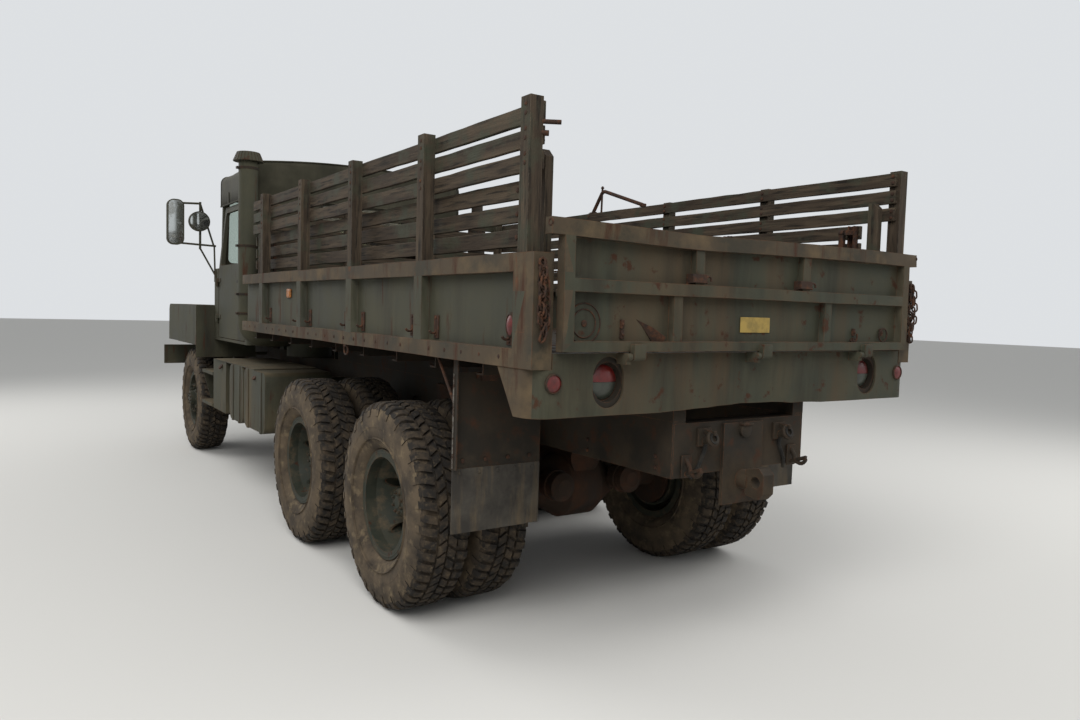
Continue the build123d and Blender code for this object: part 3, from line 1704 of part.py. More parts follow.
def bent_bar():
    y = bent_bar_y
    path = FilletPolyline(
        (bent_foot_x, y, rack_top_z + bent_plate_h / 2),
        (bent_knee_x, y, bent_knee_z),
        (bent_end_x, y, rack_top_z + bent_bar_r),
        radius=bent_bar_bend_r,
    )
    bar = sweep(Plane(origin=path @ 0, z_dir=path % 0) * Circle(bent_bar_r), path=path)
    above = box(bent_end_x - 40, bent_foot_x + 60, y - 50, y + 50, rack_top_z, bent_knee_z + 50)
    half = slat_thick / 2
    plate_top = rack_top_z + bent_plate_h
    plates = box(bent_foot_x - 35, bent_foot_x + 35, y - half, y + half, rack_top_z, plate_top)
    plates += box(bent_end_x - 30, bent_end_x + 20, y - half, y + half, rack_top_z, rack_top_z + 20)
    return (bar & above) + plates


save("bent_bar", [bent_bar()])

# Folding seats: four boards on swing brackets, hinged along the inside of each rack
seat_top_z = rack_top_z - rack_slat_count * (rack_slat_h + rack_slat_gap)
seat_y1 = slat_y0 - 14
seat_y0 = seat_y1 - slat_thick
seat_rear_x = bed_rear_x + seat_end_inset
seat_front_x = bed_front_x - seat_front_inset
seat_pitch = seat_slat_h + seat_slat_gap
seat_low_z = seat_top_z - seat_slat_count * seat_pitch + seat_slat_gap
seat_bar = 40.0
seat_hinge_y = seat_y0 - seat_bar / 2
seat_hinge_z = seat_low_z + 12
bracket_count = 5
bracket_w = 40.0
bracket_start = seat_rear_x + 30
bracket_pitch = (seat_front_x - 30 - bracket_start) / (bracket_count - 1)
bracket_xs = [bracket_start + index * bracket_pitch for index in range(bracket_count)]
legged = bracket_xs[::2]
leg_thick = 22.0
leg_gap = 6.0
leg_w = 30.0
leg_eye_r = 16.0
leg_hinge_z = seat_top_z - 40
leg_mid_y = seat_y0 - seat_bar - leg_gap - leg_thick / 2
leg_floor_gap = 6.0
leg_tie_r = 7.0
leg_length = seat_hinge_z - (seat_hinge_y - leg_mid_y) - bed_floor_z - leg_floor_gap


def leg_side(x):
    """A leg hangs in front of its bracket, but behind the foremost one."""
    return -1 if x == legged[-1] else 1


def folding_seat():
    whole = None
    for index in range(seat_slat_count):
        top = seat_top_z - index * seat_pitch
        board = box(seat_rear_x, seat_front_x, seat_y0, seat_y1, top - seat_slat_h, top)
        whole = board if whole is None else whole + board
    half = bracket_w / 2
    for x in bracket_xs:
        whole += box(x - half, x + half, seat_y0 - seat_bar, seat_y0, seat_hinge_z - 16, seat_top_z)
        whole -= Pos(x, seat_hinge_y, seat_hinge_z) * Rot(0, 90, 0) * Cylinder(hinge_pin_r + running_gap, 60)
    for x in legged:
        low = leg_hinge_z - leg_eye_r
        high = leg_hinge_z + leg_eye_r
        whole += box(x - half, x + half, leg_mid_y - leg_eye_r, seat_y0 - seat_bar, low, high)
        end = x + leg_side(x) * (half + leg_gap + leg_w + 4)
        whole += rod((x, leg_mid_y, leg_hinge_z), (end, leg_mid_y, leg_hinge_z), hinge_pin_r)
    return whole


save("seat_left", [folding_seat()])
save("seat_right", [other_side(folding_seat())])

# Seat hinges: a bent lug on the bed's side beside each bracket, with its pin
hinge_lug_w = 24.0
hinge_lug_r = 14.0


def seat_hinges():
    whole = None
    for x in bracket_xs:
        x0 = x + 26
        x1 = x0 + hinge_lug_w
        low = seat_low_z - 8
        y0 = seat_hinge_y - hinge_lug_r
        lug = box(x0, x1, y0, bed_inner_y, low - 30, low)
        lug += box(x0, x1, y0, seat_hinge_y + hinge_lug_r, low - 10, seat_hinge_z)
        head = Pos((x0 + x1) / 2, seat_hinge_y, seat_hinge_z) * Rot(0, 90, 0)
        lug += head * Cylinder(hinge_lug_r, hinge_lug_w)
        lug += rod((x - 22, seat_hinge_y, seat_hinge_z), (x0, seat_hinge_y, seat_hinge_z), hinge_pin_r)
        whole = lug if whole is None else whole + lug
    return whole


save("bed_sides", both_sides(bed_side() + seat_hinges()))

# Seat legs: three legs on a tie bar, hung on the pins near the seat's free edge
def seat_legs():
    y0 = leg_mid_y - leg_thick / 2
    y1 = leg_mid_y + leg_thick / 2
    tie_z = leg_hinge_z - leg_length * 0.5
    centres = [x + leg_side(x) * (bracket_w / 2 + leg_gap + leg_w / 2) for x in legged]
    whole = rod((centres[0], leg_mid_y, tie_z), (centres[-1], leg_mid_y, tie_z), leg_tie_r)
    for x in centres:
        x0 = x - leg_w / 2
        x1 = x + leg_w / 2
        whole += box(x0, x1, y0, y1, leg_hinge_z - leg_length, leg_hinge_z)
        whole += rod((x0, leg_mid_y, leg_hinge_z), (x1, leg_mid_y, leg_hinge_z), leg_eye_r)
        start = (x0 - 1, leg_mid_y, leg_hinge_z)
        whole -= rod(start, (x1 + 1, leg_mid_y, leg_hinge_z), hinge_pin_r + running_gap)
    return whole


save("legs_left", [seat_legs()])
save("legs_right", [other_side(seat_legs())])

# Rear sill: a deep sheet across the back that turns forward at both corners
sill_corner_r = 85.0
sill_wing = 250.0
sill_half_w = bed_half_w - 5
lamp_slot_y = bed_half_w - 368
lamp_slot_w = 155.0
lamp_slot_h = 205.0
lamp_slot_z = (sill_bottom_z + bed_floor_z) / 2 + 8


def rear_sill():
    x0 = bed_rear_x
    outer = Pos(x0 + 200, 0, 0) * RectangleRounded(400, 2 * sill_half_w, sill_corner_r)
    inner = Pos(x0 + 200, 0, 0) * RectangleRounded(
        400 - 2 * sill_wall, 2 * (sill_half_w - sill_wall), sill_corner_r - sill_wall
    )
    band = extrude(Plane.XY.offset(sill_bottom_z) * (outer - inner), amount=sill_height)
    keep = side_plate(
        [
            (x0 - 5, sill_bottom_z - 5),
            (x0 + sill_wing * 0.5, sill_bottom_z - 5),
            (x0 + sill_wing, bottom_rail_z - 2),
            (x0 + sill_wing, bottom_rail_z),
            (x0 - 5, bottom_rail_z),
        ],
        -sill_half_w - 10,
        sill_half_w + 10,
    )
    face = box(x0, x0 + sill_wall, -bed_inner_y + 5, bed_inner_y - 5, bottom_rail_z - 1, bed_floor_z)
    ledge = box(x0, x0 + floor_inset, -bed_inner_y + 5, bed_inner_y - 5, bed_floor_z - sill_wall, bed_floor_z)
    sill = (band & keep) + face + ledge
    for y in (lamp_slot_y, -lamp_slot_y):
        slot = Plane(origin=(x0 - 20, y, lamp_slot_z), x_dir=(0, 1, 0), z_dir=(1, 0, 0))
        sill -= extrude(slot * SlotOverall(lamp_slot_h, lamp_slot_w, rotation=90), amount=60)
    return sill


# Tailgate: a framed sheet on bottom hinge pins
tailgate_in_x = bed_rear_x - tailgate_gap
tailgate_out_x = tailgate_in_x - tailgate_thick
tailgate_low_z = bed_floor_z + 8
tailgate_top_z = tailgate_low_z + tailgate_height
tailgate_hinge_x = tailgate_out_x - 10
tailgate_hinge_z = bed_floor_z - 12
gate_eye_r = 15.0
top_bar_h = 62.0
mid_bar_h = 50.0
mid_bar_z = 1640.0
bottom_bar_h = 40.0
gate_rib_w = 50.0
upper_rib_ys = (405.0, -286.0)
lower_rib_ys = (522.0, -457.0)
gate_hinge_y = tailgate_half_w - 360
gate_hinge_ys = (gate_hinge_y, 0.0, -gate_hinge_y)
gate_hinge_w = 60.0
gate_lug_w = 24.0


def tailgate():
    x0 = tailgate_out_x
    x1 = tailgate_in_x
    w = tailgate_half_w
    gate = box(x1 - tailgate_sheet, x1, -w, w, tailgate_low_z, tailgate_top_z)
    rail_w = tailgate_rail_half_w
    gate += box(x0, x1, -rail_w, rail_w, tailgate_top_z - top_bar_h, tailgate_top_z)
    gate += box(x0, x1, -w, w, mid_bar_z, mid_bar_z + mid_bar_h)
    gate += box(x0, x1, -w, w, tailgate_low_z, tailgate_low_z + bottom_bar_h)
    for y in upper_rib_ys:
        gate += box(x0 + 8, x1, y - gate_rib_w / 2, y + gate_rib_w / 2, mid_bar_z, tailgate_top_z - 10)
    for y in lower_rib_ys:
        gate += box(x0 + 8, x1, y - gate_rib_w / 2, y + gate_rib_w / 2, tailgate_low_z, mid_bar_z)
    for y in (w - 25, -w + 25):
        gate += box(x0, x1, y - 25, y + 25, tailgate_low_z, tailgate_top_z - 10)
    for y in gate_hinge_ys:
        y0 = y - gate_hinge_w / 2
        y1 = y + gate_hinge_w / 2
        eye = cross_bar(tailgate_hinge_x, tailgate_hinge_z, gate_eye_r, y0, y1)
        strap_x = tailgate_hinge_x - gate_eye_r
        strap = box(strap_x, x0 + 10, y0, y1, tailgate_hinge_z, tailgate_low_z + 30)
        gate += eye + strap
        gate -= cross_bar(tailgate_hinge_x, tailgate_hinge_z, hinge_pin_r + running_gap, y - 60, y + 60)
    return gate


save("tailgate", [tailgate()])


# Tailgate hinge lugs on the sill, with their pins
def gate_hinges():
    whole = None
    for y in gate_hinge_ys:
        y0 = y + gate_hinge_w / 2 + 6
        head_r = gate_eye_r - 1
        top = tailgate_hinge_z + head_r
        lug = box(tailgate_hinge_x, bed_rear_x, y0, y0 + gate_lug_w, tailgate_hinge_z - 30, top)
        lug += cross_bar(tailgate_hinge_x, tailgate_hinge_z, head_r, y0, y0 + gate_lug_w)
        pin = cross_bar(tailgate_hinge_x, tailgate_hinge_z, hinge_pin_r, y - gate_hinge_w / 2 - 4, y0 + 12)
        whole = lug + pin if whole is None else whole + lug + pin
    return whole


save("rear_sill", [rear_sill() + gate_hinges()])

# Tailgate chains: bunched at the rear corner posts
chain_y = bed_half_w - 30


def chain():
    x = bed_rear_x - 16
    return rod((x, chain_y, top_rail_z - 20), (x, chain_y, bottom_rail_z + 120), 14) + rod(
        (x, chain_y, top_rail_z - 30), (bed_rear_x, chain_y, top_rail_z - 30), 8
    )


save("chains", both_sides(chain()))

# Mud flaps: rubber sheets behind the rear wheels, on steel brackets under the bed
flap_x = rear_axle_x - 700.0
flap_thick = 10.0
flap_in_y = 700.0
flap_out_y = bed_half_w - 45
flap_low_z = 550.0
flap_top_z = 845.0
bracket_sheet = 6.0


def flap_bracket():
    top = long_sill_z - seat_clear
    plate = box(flap_x - bracket_sheet, flap_x, flap_in_y, flap_out_y, flap_top_z, top)
    post = box(flap_x - 40, flap_x, flap_out_y - bracket_sheet, flap_out_y, flap_top_z, bottom_rail_z)
    return plate + post


save("bed_frame", bed_frame() + both_sides(flap_bracket()))
flap = box(flap_x - flap_thick, flap_x, flap_in_y, flap_out_y, flap_low_z, flap_top_z)
save("mud_flaps", both_sides(flap))

# Lamps: head lamps in the fenders and round lamps behind the sill's slots
rear_lamp_r = 72.0
lamp_plate = 8.0


def lamps():
    shapes = []
    for side in (1, -1):
        front = Plane(origin=(fender_front_x, side * lamp_y, lamp_z), z_dir=(1, 0, 0))
        shapes.append(extrude(front * Circle(lamp_r), amount=35))
        centre = (bed_rear_x + sill_wall, side * lamp_slot_y, lamp_slot_z)
        plate = Plane(origin=centre, x_dir=(0, 1, 0), z_dir=(1, 0, 0))
        mount = extrude(plate * Rectangle(lamp_slot_w + 30, lamp_slot_h + 6), amount=lamp_plate)
        lens = extrude(plate * Circle(rear_lamp_r), amount=-sill_wall)
        shapes.append(mount + lens)
    return shapes


save("lamps", lamps())

# Tow hook on the rear crossmember
hook_z = 815.0
hook_plate_x = rail_rear_x - 16
hook_jaw_h = 73.0
hook_half_w = 35.0
hook_nose = 28.0
hook_corner = 10.0
hook_eye_in = 45.0
hook_eye_r = 27.0


def tow_hook():
    plate = box(hook_plate_x, rail_rear_x, -130, 130, hook_z - 110, rail_top_z - 20)
    stem = Pos(hook_plate_x - 30, 0, hook_z) * Rot(0, 90, 0) * Cylinder(45, 60)
    end_x = rear_axle_x - rear_overhang
    jaw_x = hook_plate_x - 50
    tip = hook_jaw_h * 0.6
    outline = [
        (end_x, hook_z - tip),
        (end_x + hook_nose, hook_z - hook_jaw_h),
        (jaw_x, hook_z - hook_jaw_h * 0.8),
        (jaw_x, hook_z + hook_jaw_h * 0.8),
        (end_x + hook_nose, hook_z + hook_jaw_h),
        (end_x, hook_z + tip),
    ]
    jaw = side_plate(outline, -hook_half_w, hook_half_w, hook_corner)
    jaw -= cross_bar(end_x + hook_eye_in, hook_z + 5, hook_eye_r, -60, 60)
    return plate + stem + jaw


save("tow_hook", [tow_hook()])
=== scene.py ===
# Six-wheel-drive cargo truck in the looks of a worn, dusty working vehicle
# Metres throughout; +X is forward, +Y the truck's left side, +Z up
import json
import math
import random

import bmesh
import bpy
from mathutils import Matrix, Vector, noise


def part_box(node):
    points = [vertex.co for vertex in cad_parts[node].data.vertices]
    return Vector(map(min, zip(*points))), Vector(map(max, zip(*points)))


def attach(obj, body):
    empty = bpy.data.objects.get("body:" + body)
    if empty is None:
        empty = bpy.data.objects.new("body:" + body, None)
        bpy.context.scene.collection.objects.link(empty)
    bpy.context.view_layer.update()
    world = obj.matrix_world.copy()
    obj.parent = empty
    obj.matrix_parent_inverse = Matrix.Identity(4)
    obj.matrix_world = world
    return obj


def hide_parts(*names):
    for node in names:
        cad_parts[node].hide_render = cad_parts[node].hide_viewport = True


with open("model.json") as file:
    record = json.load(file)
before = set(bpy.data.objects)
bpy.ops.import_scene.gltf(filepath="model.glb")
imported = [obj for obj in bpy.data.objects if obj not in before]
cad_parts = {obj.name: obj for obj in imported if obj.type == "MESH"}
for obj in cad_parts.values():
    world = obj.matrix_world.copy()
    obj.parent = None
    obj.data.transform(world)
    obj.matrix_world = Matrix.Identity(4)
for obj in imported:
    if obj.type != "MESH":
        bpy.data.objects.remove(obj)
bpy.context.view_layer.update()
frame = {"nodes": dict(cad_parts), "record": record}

scene = bpy.context.scene
body_of_node = {
    node: body for body, nodes in frame["record"]["behaviour"]["bodies"].items() for node in nodes
}
# Places taken from the frame
tyre_low, tyre_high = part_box("tyre_front_left")
axle_z = (tyre_low.z + tyre_high.z) / 2
tyre_half_w = (tyre_high.y - tyre_low.y) / 2
rail_low, rail_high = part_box("frame_rails")
side_low, side_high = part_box("bed_sides")
gate_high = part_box("tailgate")[1]
slat_low, slat_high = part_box("rack_slats")
seat_low, seat_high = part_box("seat_left")
canvas_low, canvas_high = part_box("canvas_top")
lamp_low, lamp_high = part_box("lamps")
flap_low, flap_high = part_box("mud_flaps")
screen_low, screen_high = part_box("windshield_frame")


def centre_x(node):
    """The middle of a node's length."""
    low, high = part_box(node)
    return (low.x + high.x) / 2


# Camera at the photograph's viewing angle, low behind the left rear corner
camera_place = Vector((-6.274, 2.864, 1.565))
camera_yaw = -0.596489
camera_pitch = -0.0611602
camera_roll = 0.0283777
focal_px = 808.58
photo_width_px = 1080
sensor_mm = 36.0


def set_camera():
    ahead = Vector(
        (
            math.cos(camera_yaw) * math.cos(camera_pitch),
            math.sin(camera_yaw) * math.cos(camera_pitch),
            math.sin(camera_pitch),
        )
    )
    level = Vector((math.sin(camera_yaw), -math.cos(camera_yaw), 0))
    up = level.cross(ahead)
    right = math.cos(camera_roll) * level + math.sin(camera_roll) * up
    top = -math.sin(camera_roll) * level + math.cos(camera_roll) * up
    data = bpy.data.cameras.new("camera")
    data.sensor_width = sensor_mm
    data.lens = focal_px / photo_width_px * sensor_mm
    camera = bpy.data.objects.new("camera", data)
    camera.matrix_world = Matrix.Translation(camera_place) @ Matrix((right, top, -ahead)).transposed().to_4x4()
    scene.collection.objects.link(camera)
    scene.camera = camera


set_camera()


# Materials: one function for colours and one that adds a node
def colour(text):
    """An sRGB hex value as a linear colour."""
    values = [int(text[start : start + 2], 16) / 255 for start in (1, 3, 5)]
    linear = [value / 12.92 if value <= 0.04045 else ((value + 0.055) / 1.055) ** 2.4 for value in values]
    return (*linear, 1.0)


def add(tree, kind, inputs=None, **settings):
    """A new node: settings are its properties, inputs its sockets' values or what is linked to them."""
    made = tree.nodes.new("ShaderNode" + kind)
    for name, value in settings.items():
        setattr(made, name, value)
    for name, value in (inputs or {}).items():
        if isinstance(value, bpy.types.NodeSocket):
            tree.links.new(value, made.inputs[name])
        else:
            made.inputs[name].default_value = value
    return made


def patches(tree, spot, size, low, high, stretch=(1, 1, 1), shift=0.0):
    """Cloudy patches of a size in mm, as a share from 0 to 1."""
    scale = [1000 / size / part for part in stretch]
    place = add(tree, "Mapping", {"Vector": spot, "Scale": scale, "Location": (shift, shift * 2, -shift)})
    cloud = add(tree, "TexNoise", {"Vector": place.outputs[0], "Scale": 1.0, "Detail": 7.0, "Roughness": 0.62})
    share = add(tree, "MapRange", {"Value": cloud.outputs[0], "From Min": low, "From Max": high})
    return share.outputs[0]


def where_share(tree, where):
    """The share of a surface that looks up, lies near an edge or stands low over the ground."""
    if where == "up":
        normal = add(tree, "TexCoord").outputs["Normal"]
        part = add(tree, "SeparateXYZ", {"Vector": normal}).outputs["Z"]
        low, high = 0.55, 0.95
    elif where == "edge":
        normal = add(tree, "NewGeometry").outputs["Normal"]
        soft = add(tree, "Bevel", {"Radius": 0.006}, samples=4).outputs[0]
        part = add(tree, "VectorMath", {0: soft, 1: normal}, operation="DOT_PRODUCT").outputs["Value"]
        low, high = 0.985, 0.86
    else:
        place = add(tree, "TexCoord").outputs["Object"]
        part = add(tree, "SeparateXYZ", {"Vector": place}).outputs["Z"]
        low, high = 1.15, 0.45
    return add(tree, "MapRange", {"Value": part, "From Min": low, "From Max": high}).outputs[0]


def finish(name, base, layers=(), rough=0.6, grain=6.0, bump=0.0006, metal=0.0, run=(1, 1, 7), **shader):
    """A worn surface. Each layer is its colour, patch size in mm, from, to and roughness, and then its marks:
    "run" draws its patches out along the run, and "up", "edge" and "low" keep it to such places."""
    made = bpy.data.materials.new(name)
    made.use_nodes = True
    made.diffuse_color = colour(base)
    tree = made.node_tree
    skin = tree.nodes["Principled BSDF"]
    spot = add(tree, "TexCoord").outputs["Object"]
    tint = gloss = None
    for count, (hex_value, size, low, high, layer_rough, *marks) in enumerate(layers):
        share = patches(tree, spot, size, low, high, run if "run" in marks else (1, 1, 1), 3.7 * count)
        for mark in marks:
            if mark != "run":
                place = where_share(tree, mark)
                share = add(tree, "Math", {0: share, 1: place}, operation="MULTIPLY").outputs[0]
        under = tint or colour(base)
        tint = add(tree, "Mix", {0: share, 6: under, 7: colour(hex_value)}, data_type="RGBA").outputs[2]
        gloss = add(tree, "Mix", {0: share, 2: gloss or rough, 3: layer_rough}).outputs[0]
    if tint:
        tree.links.new(tint, skin.inputs["Base Color"])
        tree.links.new(gloss, skin.inputs["Roughness"])
    skin.inputs["Metallic"].default_value = metal
    # A dull surface shows little of the pale world
    skin.inputs["Specular IOR Level"].default_value = 0.2 if rough > 0.5 else 0.5
    for socket, value in shader.items():
        skin.inputs[socket.replace("_", " ")].default_value = value
    if bump:
        fine = add(tree, "TexNoise", {"Vector": spot, "Scale": 1000 / grain, "Detail": 4.0, "Roughness": 0.6})
        relief = add(tree, "Bump", {"Height": fine.outputs[0], "Distance": bump, "Strength": 0.7})
        tree.links.new(relief.outputs[0], skin.inputs["Normal"])
    return made


rust = "#3d281c"
rust_light = "#573a27"
dust = "#66573f"

# Alkyd enamel, sprayed matt olive: chalked and sun-faded, dusty on top, rust at its edges and in its drips
olive = finish("olive_enamel", "#35352a", (
    ("#424032", 420, 0.42, 0.66, 0.78),
    ("#28261f", 260, 0.52, 0.75, 0.7, "run"),
    (dust, 260, 0.24, 0.88, 0.95, "up"),
    (dust, 300, 0.45, 0.75, 0.95, "run", "low"),
    (rust, 70, 0.60, 0.68, 0.9, "run"),
    (rust, 40, 0.36, 0.60, 0.9, "edge"),
), rough=0.62, grain=5.0, bump=0.0005)

# The same enamel under a coat of road dust and rust stain, as on the bed's rails
dusty_olive = finish("dusty_enamel", "#463c2f", (
    ("#37332a", 300, 0.46, 0.62, 0.8),
    ("#5b4d3a", 170, 0.50, 0.72, 0.95),
    (rust, 110, 0.56, 0.66, 0.9, "run"),
    (rust_light, 45, 0.40, 0.62, 0.9, "edge"),
), rough=0.82, grain=4.0, bump=0.0007)

# Old green-grey enamel of the rear sill and tailgate, scraped, with stains that run down
sill_green = finish("green_grey_enamel", "#37392e", (
    ("#434032", 350, 0.42, 0.64, 0.75),
    ("#2b281f", 190, 0.50, 0.72, 0.7, "run"),
    ("#4b3f30", 240, 0.50, 0.72, 0.9, "run"),
    (rust, 90, 0.60, 0.67, 0.92),
    (rust_light, 40, 0.38, 0.62, 0.9, "edge"),
), rough=0.66, grain=5.0)

# Chassis enamel, near black: oily, with dried mud low down
chassis_black = finish("chassis_enamel", "#231f19", (
    ("#30281f", 220, 0.42, 0.66, 0.85),
    ("#4f4232", 160, 0.44, 0.70, 0.95, "low"),
    (rust, 90, 0.55, 0.70, 0.92),
    (rust_light, 30, 0.40, 0.62, 0.9, "edge"),
), rough=0.7, grain=4.0, bump=0.0008)

# Cast iron, sand cast: rust-brown skin with oil stains and a coarse grain
cast_iron = finish("cast_iron", "#32271f", (
    ("#452e21", 130, 0.44, 0.66, 0.95),
    ("#211c18", 200, 0.52, 0.70, 0.5),
    ("#5a4a38", 200, 0.28, 0.92, 0.95, "up"),
), rough=0.85, grain=3.0, bump=0.0016)

# Pressed steel rim in dark green enamel, stone-chipped and muddy
rim_green = finish("rim_enamel", "#2c2f27", (
    ("#3c3a2f", 120, 0.44, 0.68, 0.8),
    ("#5d4f3d", 90, 0.52, 0.74, 0.95),
    (rust, 60, 0.60, 0.70, 0.9),
    (rust_light, 30, 0.42, 0.64, 0.9, "edge"),
), grain=4.0)

# Natural rubber tread: worn smooth on the lugs, grit and dust between them
tread_rubber = finish("tread_rubber", "#24211e", (
    ("#4b4033", 60, 0.44, 0.72, 0.95),
    ("#5e5241", 25, 0.54, 0.78, 0.98),
), rough=0.86, grain=2.5)

# Sidewall rubber: browned by ozone and caked with pale road dust
sidewall_rubber = finish("sidewall_rubber", "#3a332b", (
    ("#594d3e", 140, 0.38, 0.62, 0.95),
    ("#73654f", 60, 0.54, 0.74, 0.98),
    ("#28231e", 200, 0.60, 0.74, 0.85),
), rough=0.9, grain=3.0)

# Sheet rubber of the flaps: grey with dried splashes
flap_rubber = finish("sheet_rubber", "#33302c", (
    ("#4a463f", 180, 0.40, 0.64, 0.9),
    ("#655641", 150, 0.50, 0.70, 0.97, "run"),
), rough=0.82, grain=3.0, bump=0.0005)

# Zinc-plated steel, gone dull, for the flap's bright edge and the steps' studs
dull_zinc = finish("zinc_steel", "#75716a", (
    (rust, 25, 0.44, 0.62, 0.9),
    ("#4c4943", 60, 0.50, 0.70, 0.6),
), rough=0.45, grain=2.0, bump=0.0003, metal=0.75)

# Wrought steel, rusted through its skin, for chains, hooks, bolts and pins
rusty_steel = finish("rusted_steel", "#33251d", (
    ("#523524", 30, 0.46, 0.66, 0.95),
    ("#231c18", 45, 0.52, 0.68, 0.7),
), rough=0.85, grain=1.5)

# Window glass, green-edged and dusty
window_glass = finish(
    "dusty_window_glass", "#b9c6bd", (("#8f8570", 160, 0.55, 0.95, 0.4),), rough=0.04, bump=0.0,
    Transmission_Weight=0.93, IOR=1.5
)

# Silvered mirror glass under a film of dust
mirror_glass = finish(
    "mirror_glass", "#c8ccca", (("#8d8676", 120, 0.52, 0.80, 0.5),), rough=0.07, bump=0.0, metal=0.95
)

# Flexible window of clear vinyl, yellowed and scuffed
clear_vinyl = finish(
    "yellowed_vinyl", "#8b846c", (("#5d5646", 90, 0.42, 0.66, 0.7),), rough=0.22, grain=60.0, bump=0.003,
    Transmission_Weight=0.75, IOR=1.45
)


# Acrylic lenses, faded by the sun, with road film over them
def acrylic(name, base, film, size, low):
    return finish(name, base, ((film, size, low, 0.7, 0.6),), rough=0.4, grain=9.0, Coat_Weight=0.08)


red_lens = acrylic("red_acrylic", "#5c120d", "#38110d", 50, 0.40)
amber_lens = acrylic("amber_acrylic", "#a4621a", "#6b4118", 40, 0.45)
grey_lens = acrylic("smoked_acrylic", "#363a31", "#2b2a24", 50, 0.45)

# Pressed lamp glass over its silvered bowl, fluted and dusty
clear_lens = finish(
    "fluted_lamp_glass", "#7d827e", (("#6b6555", 70, 0.5, 0.75, 0.6),), rough=0.18, grain=12.0, bump=0.002,
    metal=0.5, Coat_Weight=0.4
)

# Plain plate of yellow enamelled sheet, faded
yellow_plate = finish(
    "yellow_enamel", "#9c8446", (("#77683f", 60, 0.42, 0.7, 0.8),), rough=0.55, grain=8.0, bump=0.0003
)

# Black moulded rubber for seals, wiper blades and hoses
black_rubber = finish(
    "moulded_rubber", "#1b1a18", (("#38332b", 50, 0.45, 0.75, 0.9),), rough=0.7, grain=3.0, bump=0.0003
)


# Cotton duck, waxed and woven: threads drawn at 4 mm, coarser than the real 1 mm, so that they show
def woven(name, base, faded, dark, thread):
    layers = (
        (faded, 240, 0.42, 0.68, 0.92),
        (dark, 160, 0.52, 0.74, 0.85, "run"),
        (dust, 240, 0.28, 0.96, 0.97, "up"),
    )
    made = finish(name, base, layers, rough=0.88, grain=thread, bump=0.0004, Sheen_Weight=0.06)
    tree = made.node_tree
    spot = add(tree, "TexCoord").outputs["Object"]
    heights = []
    for direction in ("X", "Y", "Z"):
        wave = add(tree, "TexWave", {"Vector": spot, "Scale": 1000 / thread / 6.3}, bands_direction=direction)
        heights.append(wave.outputs["Fac"])
    pair = add(tree, "Math", {0: heights[0], 1: heights[1]}, operation="ADD").outputs[0]
    total = add(tree, "Math", {0: pair, 1: heights[2]}, operation="ADD").outputs[0]
    skin = tree.nodes["Principled BSDF"]
    grain = skin.inputs["Normal"].links[0].from_socket
    relief = add(tree, "Bump", {"Height": total, "Normal": grain, "Distance": 0.0006, "Strength": 0.6})
    tree.links.new(relief.outputs[0], skin.inputs["Normal"])
    return made


waxed_canvas = woven("waxed_cotton_duck", "#333126", "#423f33", "#25231c", 4.0)
coated_cloth = woven("coated_seat_cloth", "#2f3228", "#3d4033", "#23241d", 3.0)


# Oak boards, once painted: grey-brown, split along the grain, with paint left in the hollows
def oak(name, grain_way):
    layers = (
        ("#4c4134", 42, 0.42, 0.64, 0.92, "run"),
        ("#1c1813", 16, 0.50, 0.66, 0.9, "run"),
        ("#35362a", 190, 0.50, 0.64, 0.8),
        ("#5b5143", 30, 0.42, 0.66, 0.95, "edge"),
    )
    made = finish(name, "#332a21", layers, rough=0.86, bump=0.0, run=grain_way)
    tree = made.node_tree
    spot = add(tree, "TexCoord").outputs["Object"]
    lines = patches(tree, spot, 9, 0.3, 0.7, grain_way, 11.0)
    relief = add(tree, "Bump", {"Height": lines, "Distance": 0.0012, "Strength": 0.8})
    tree.links.new(relief.outputs[0], tree.nodes["Principled BSDF"].inputs["Normal"])
    return made


side_oak = oak("side_oak", (14, 1, 1))
cross_oak = oak("cross_oak", (1, 14, 1))
upright_oak = oak("upright_oak", (1, 1, 14))


# Shapes are drafted in a bmesh and then made into pieces
x_way, y_way, z_way = (1, 0, 0), (0, 1, 0), (0, 0, 1)
block_faces = ((0, 1, 3, 2), (4, 6, 7, 5), (0, 4, 5, 1), (2, 3, 7, 6), (0, 2, 6, 4), (1, 5, 7, 3))
sharp_angle = math.radians(38)


def grid_faces(wide, rows):
    """The faces of a grid of points, kept row by row."""
    corners = (0, 1, 1 + wide, wide)
    firsts = [row * wide + step for row in range(rows - 1) for step in range(wide - 1)]
    return [tuple(first + corner for corner in corners) for first in firsts]


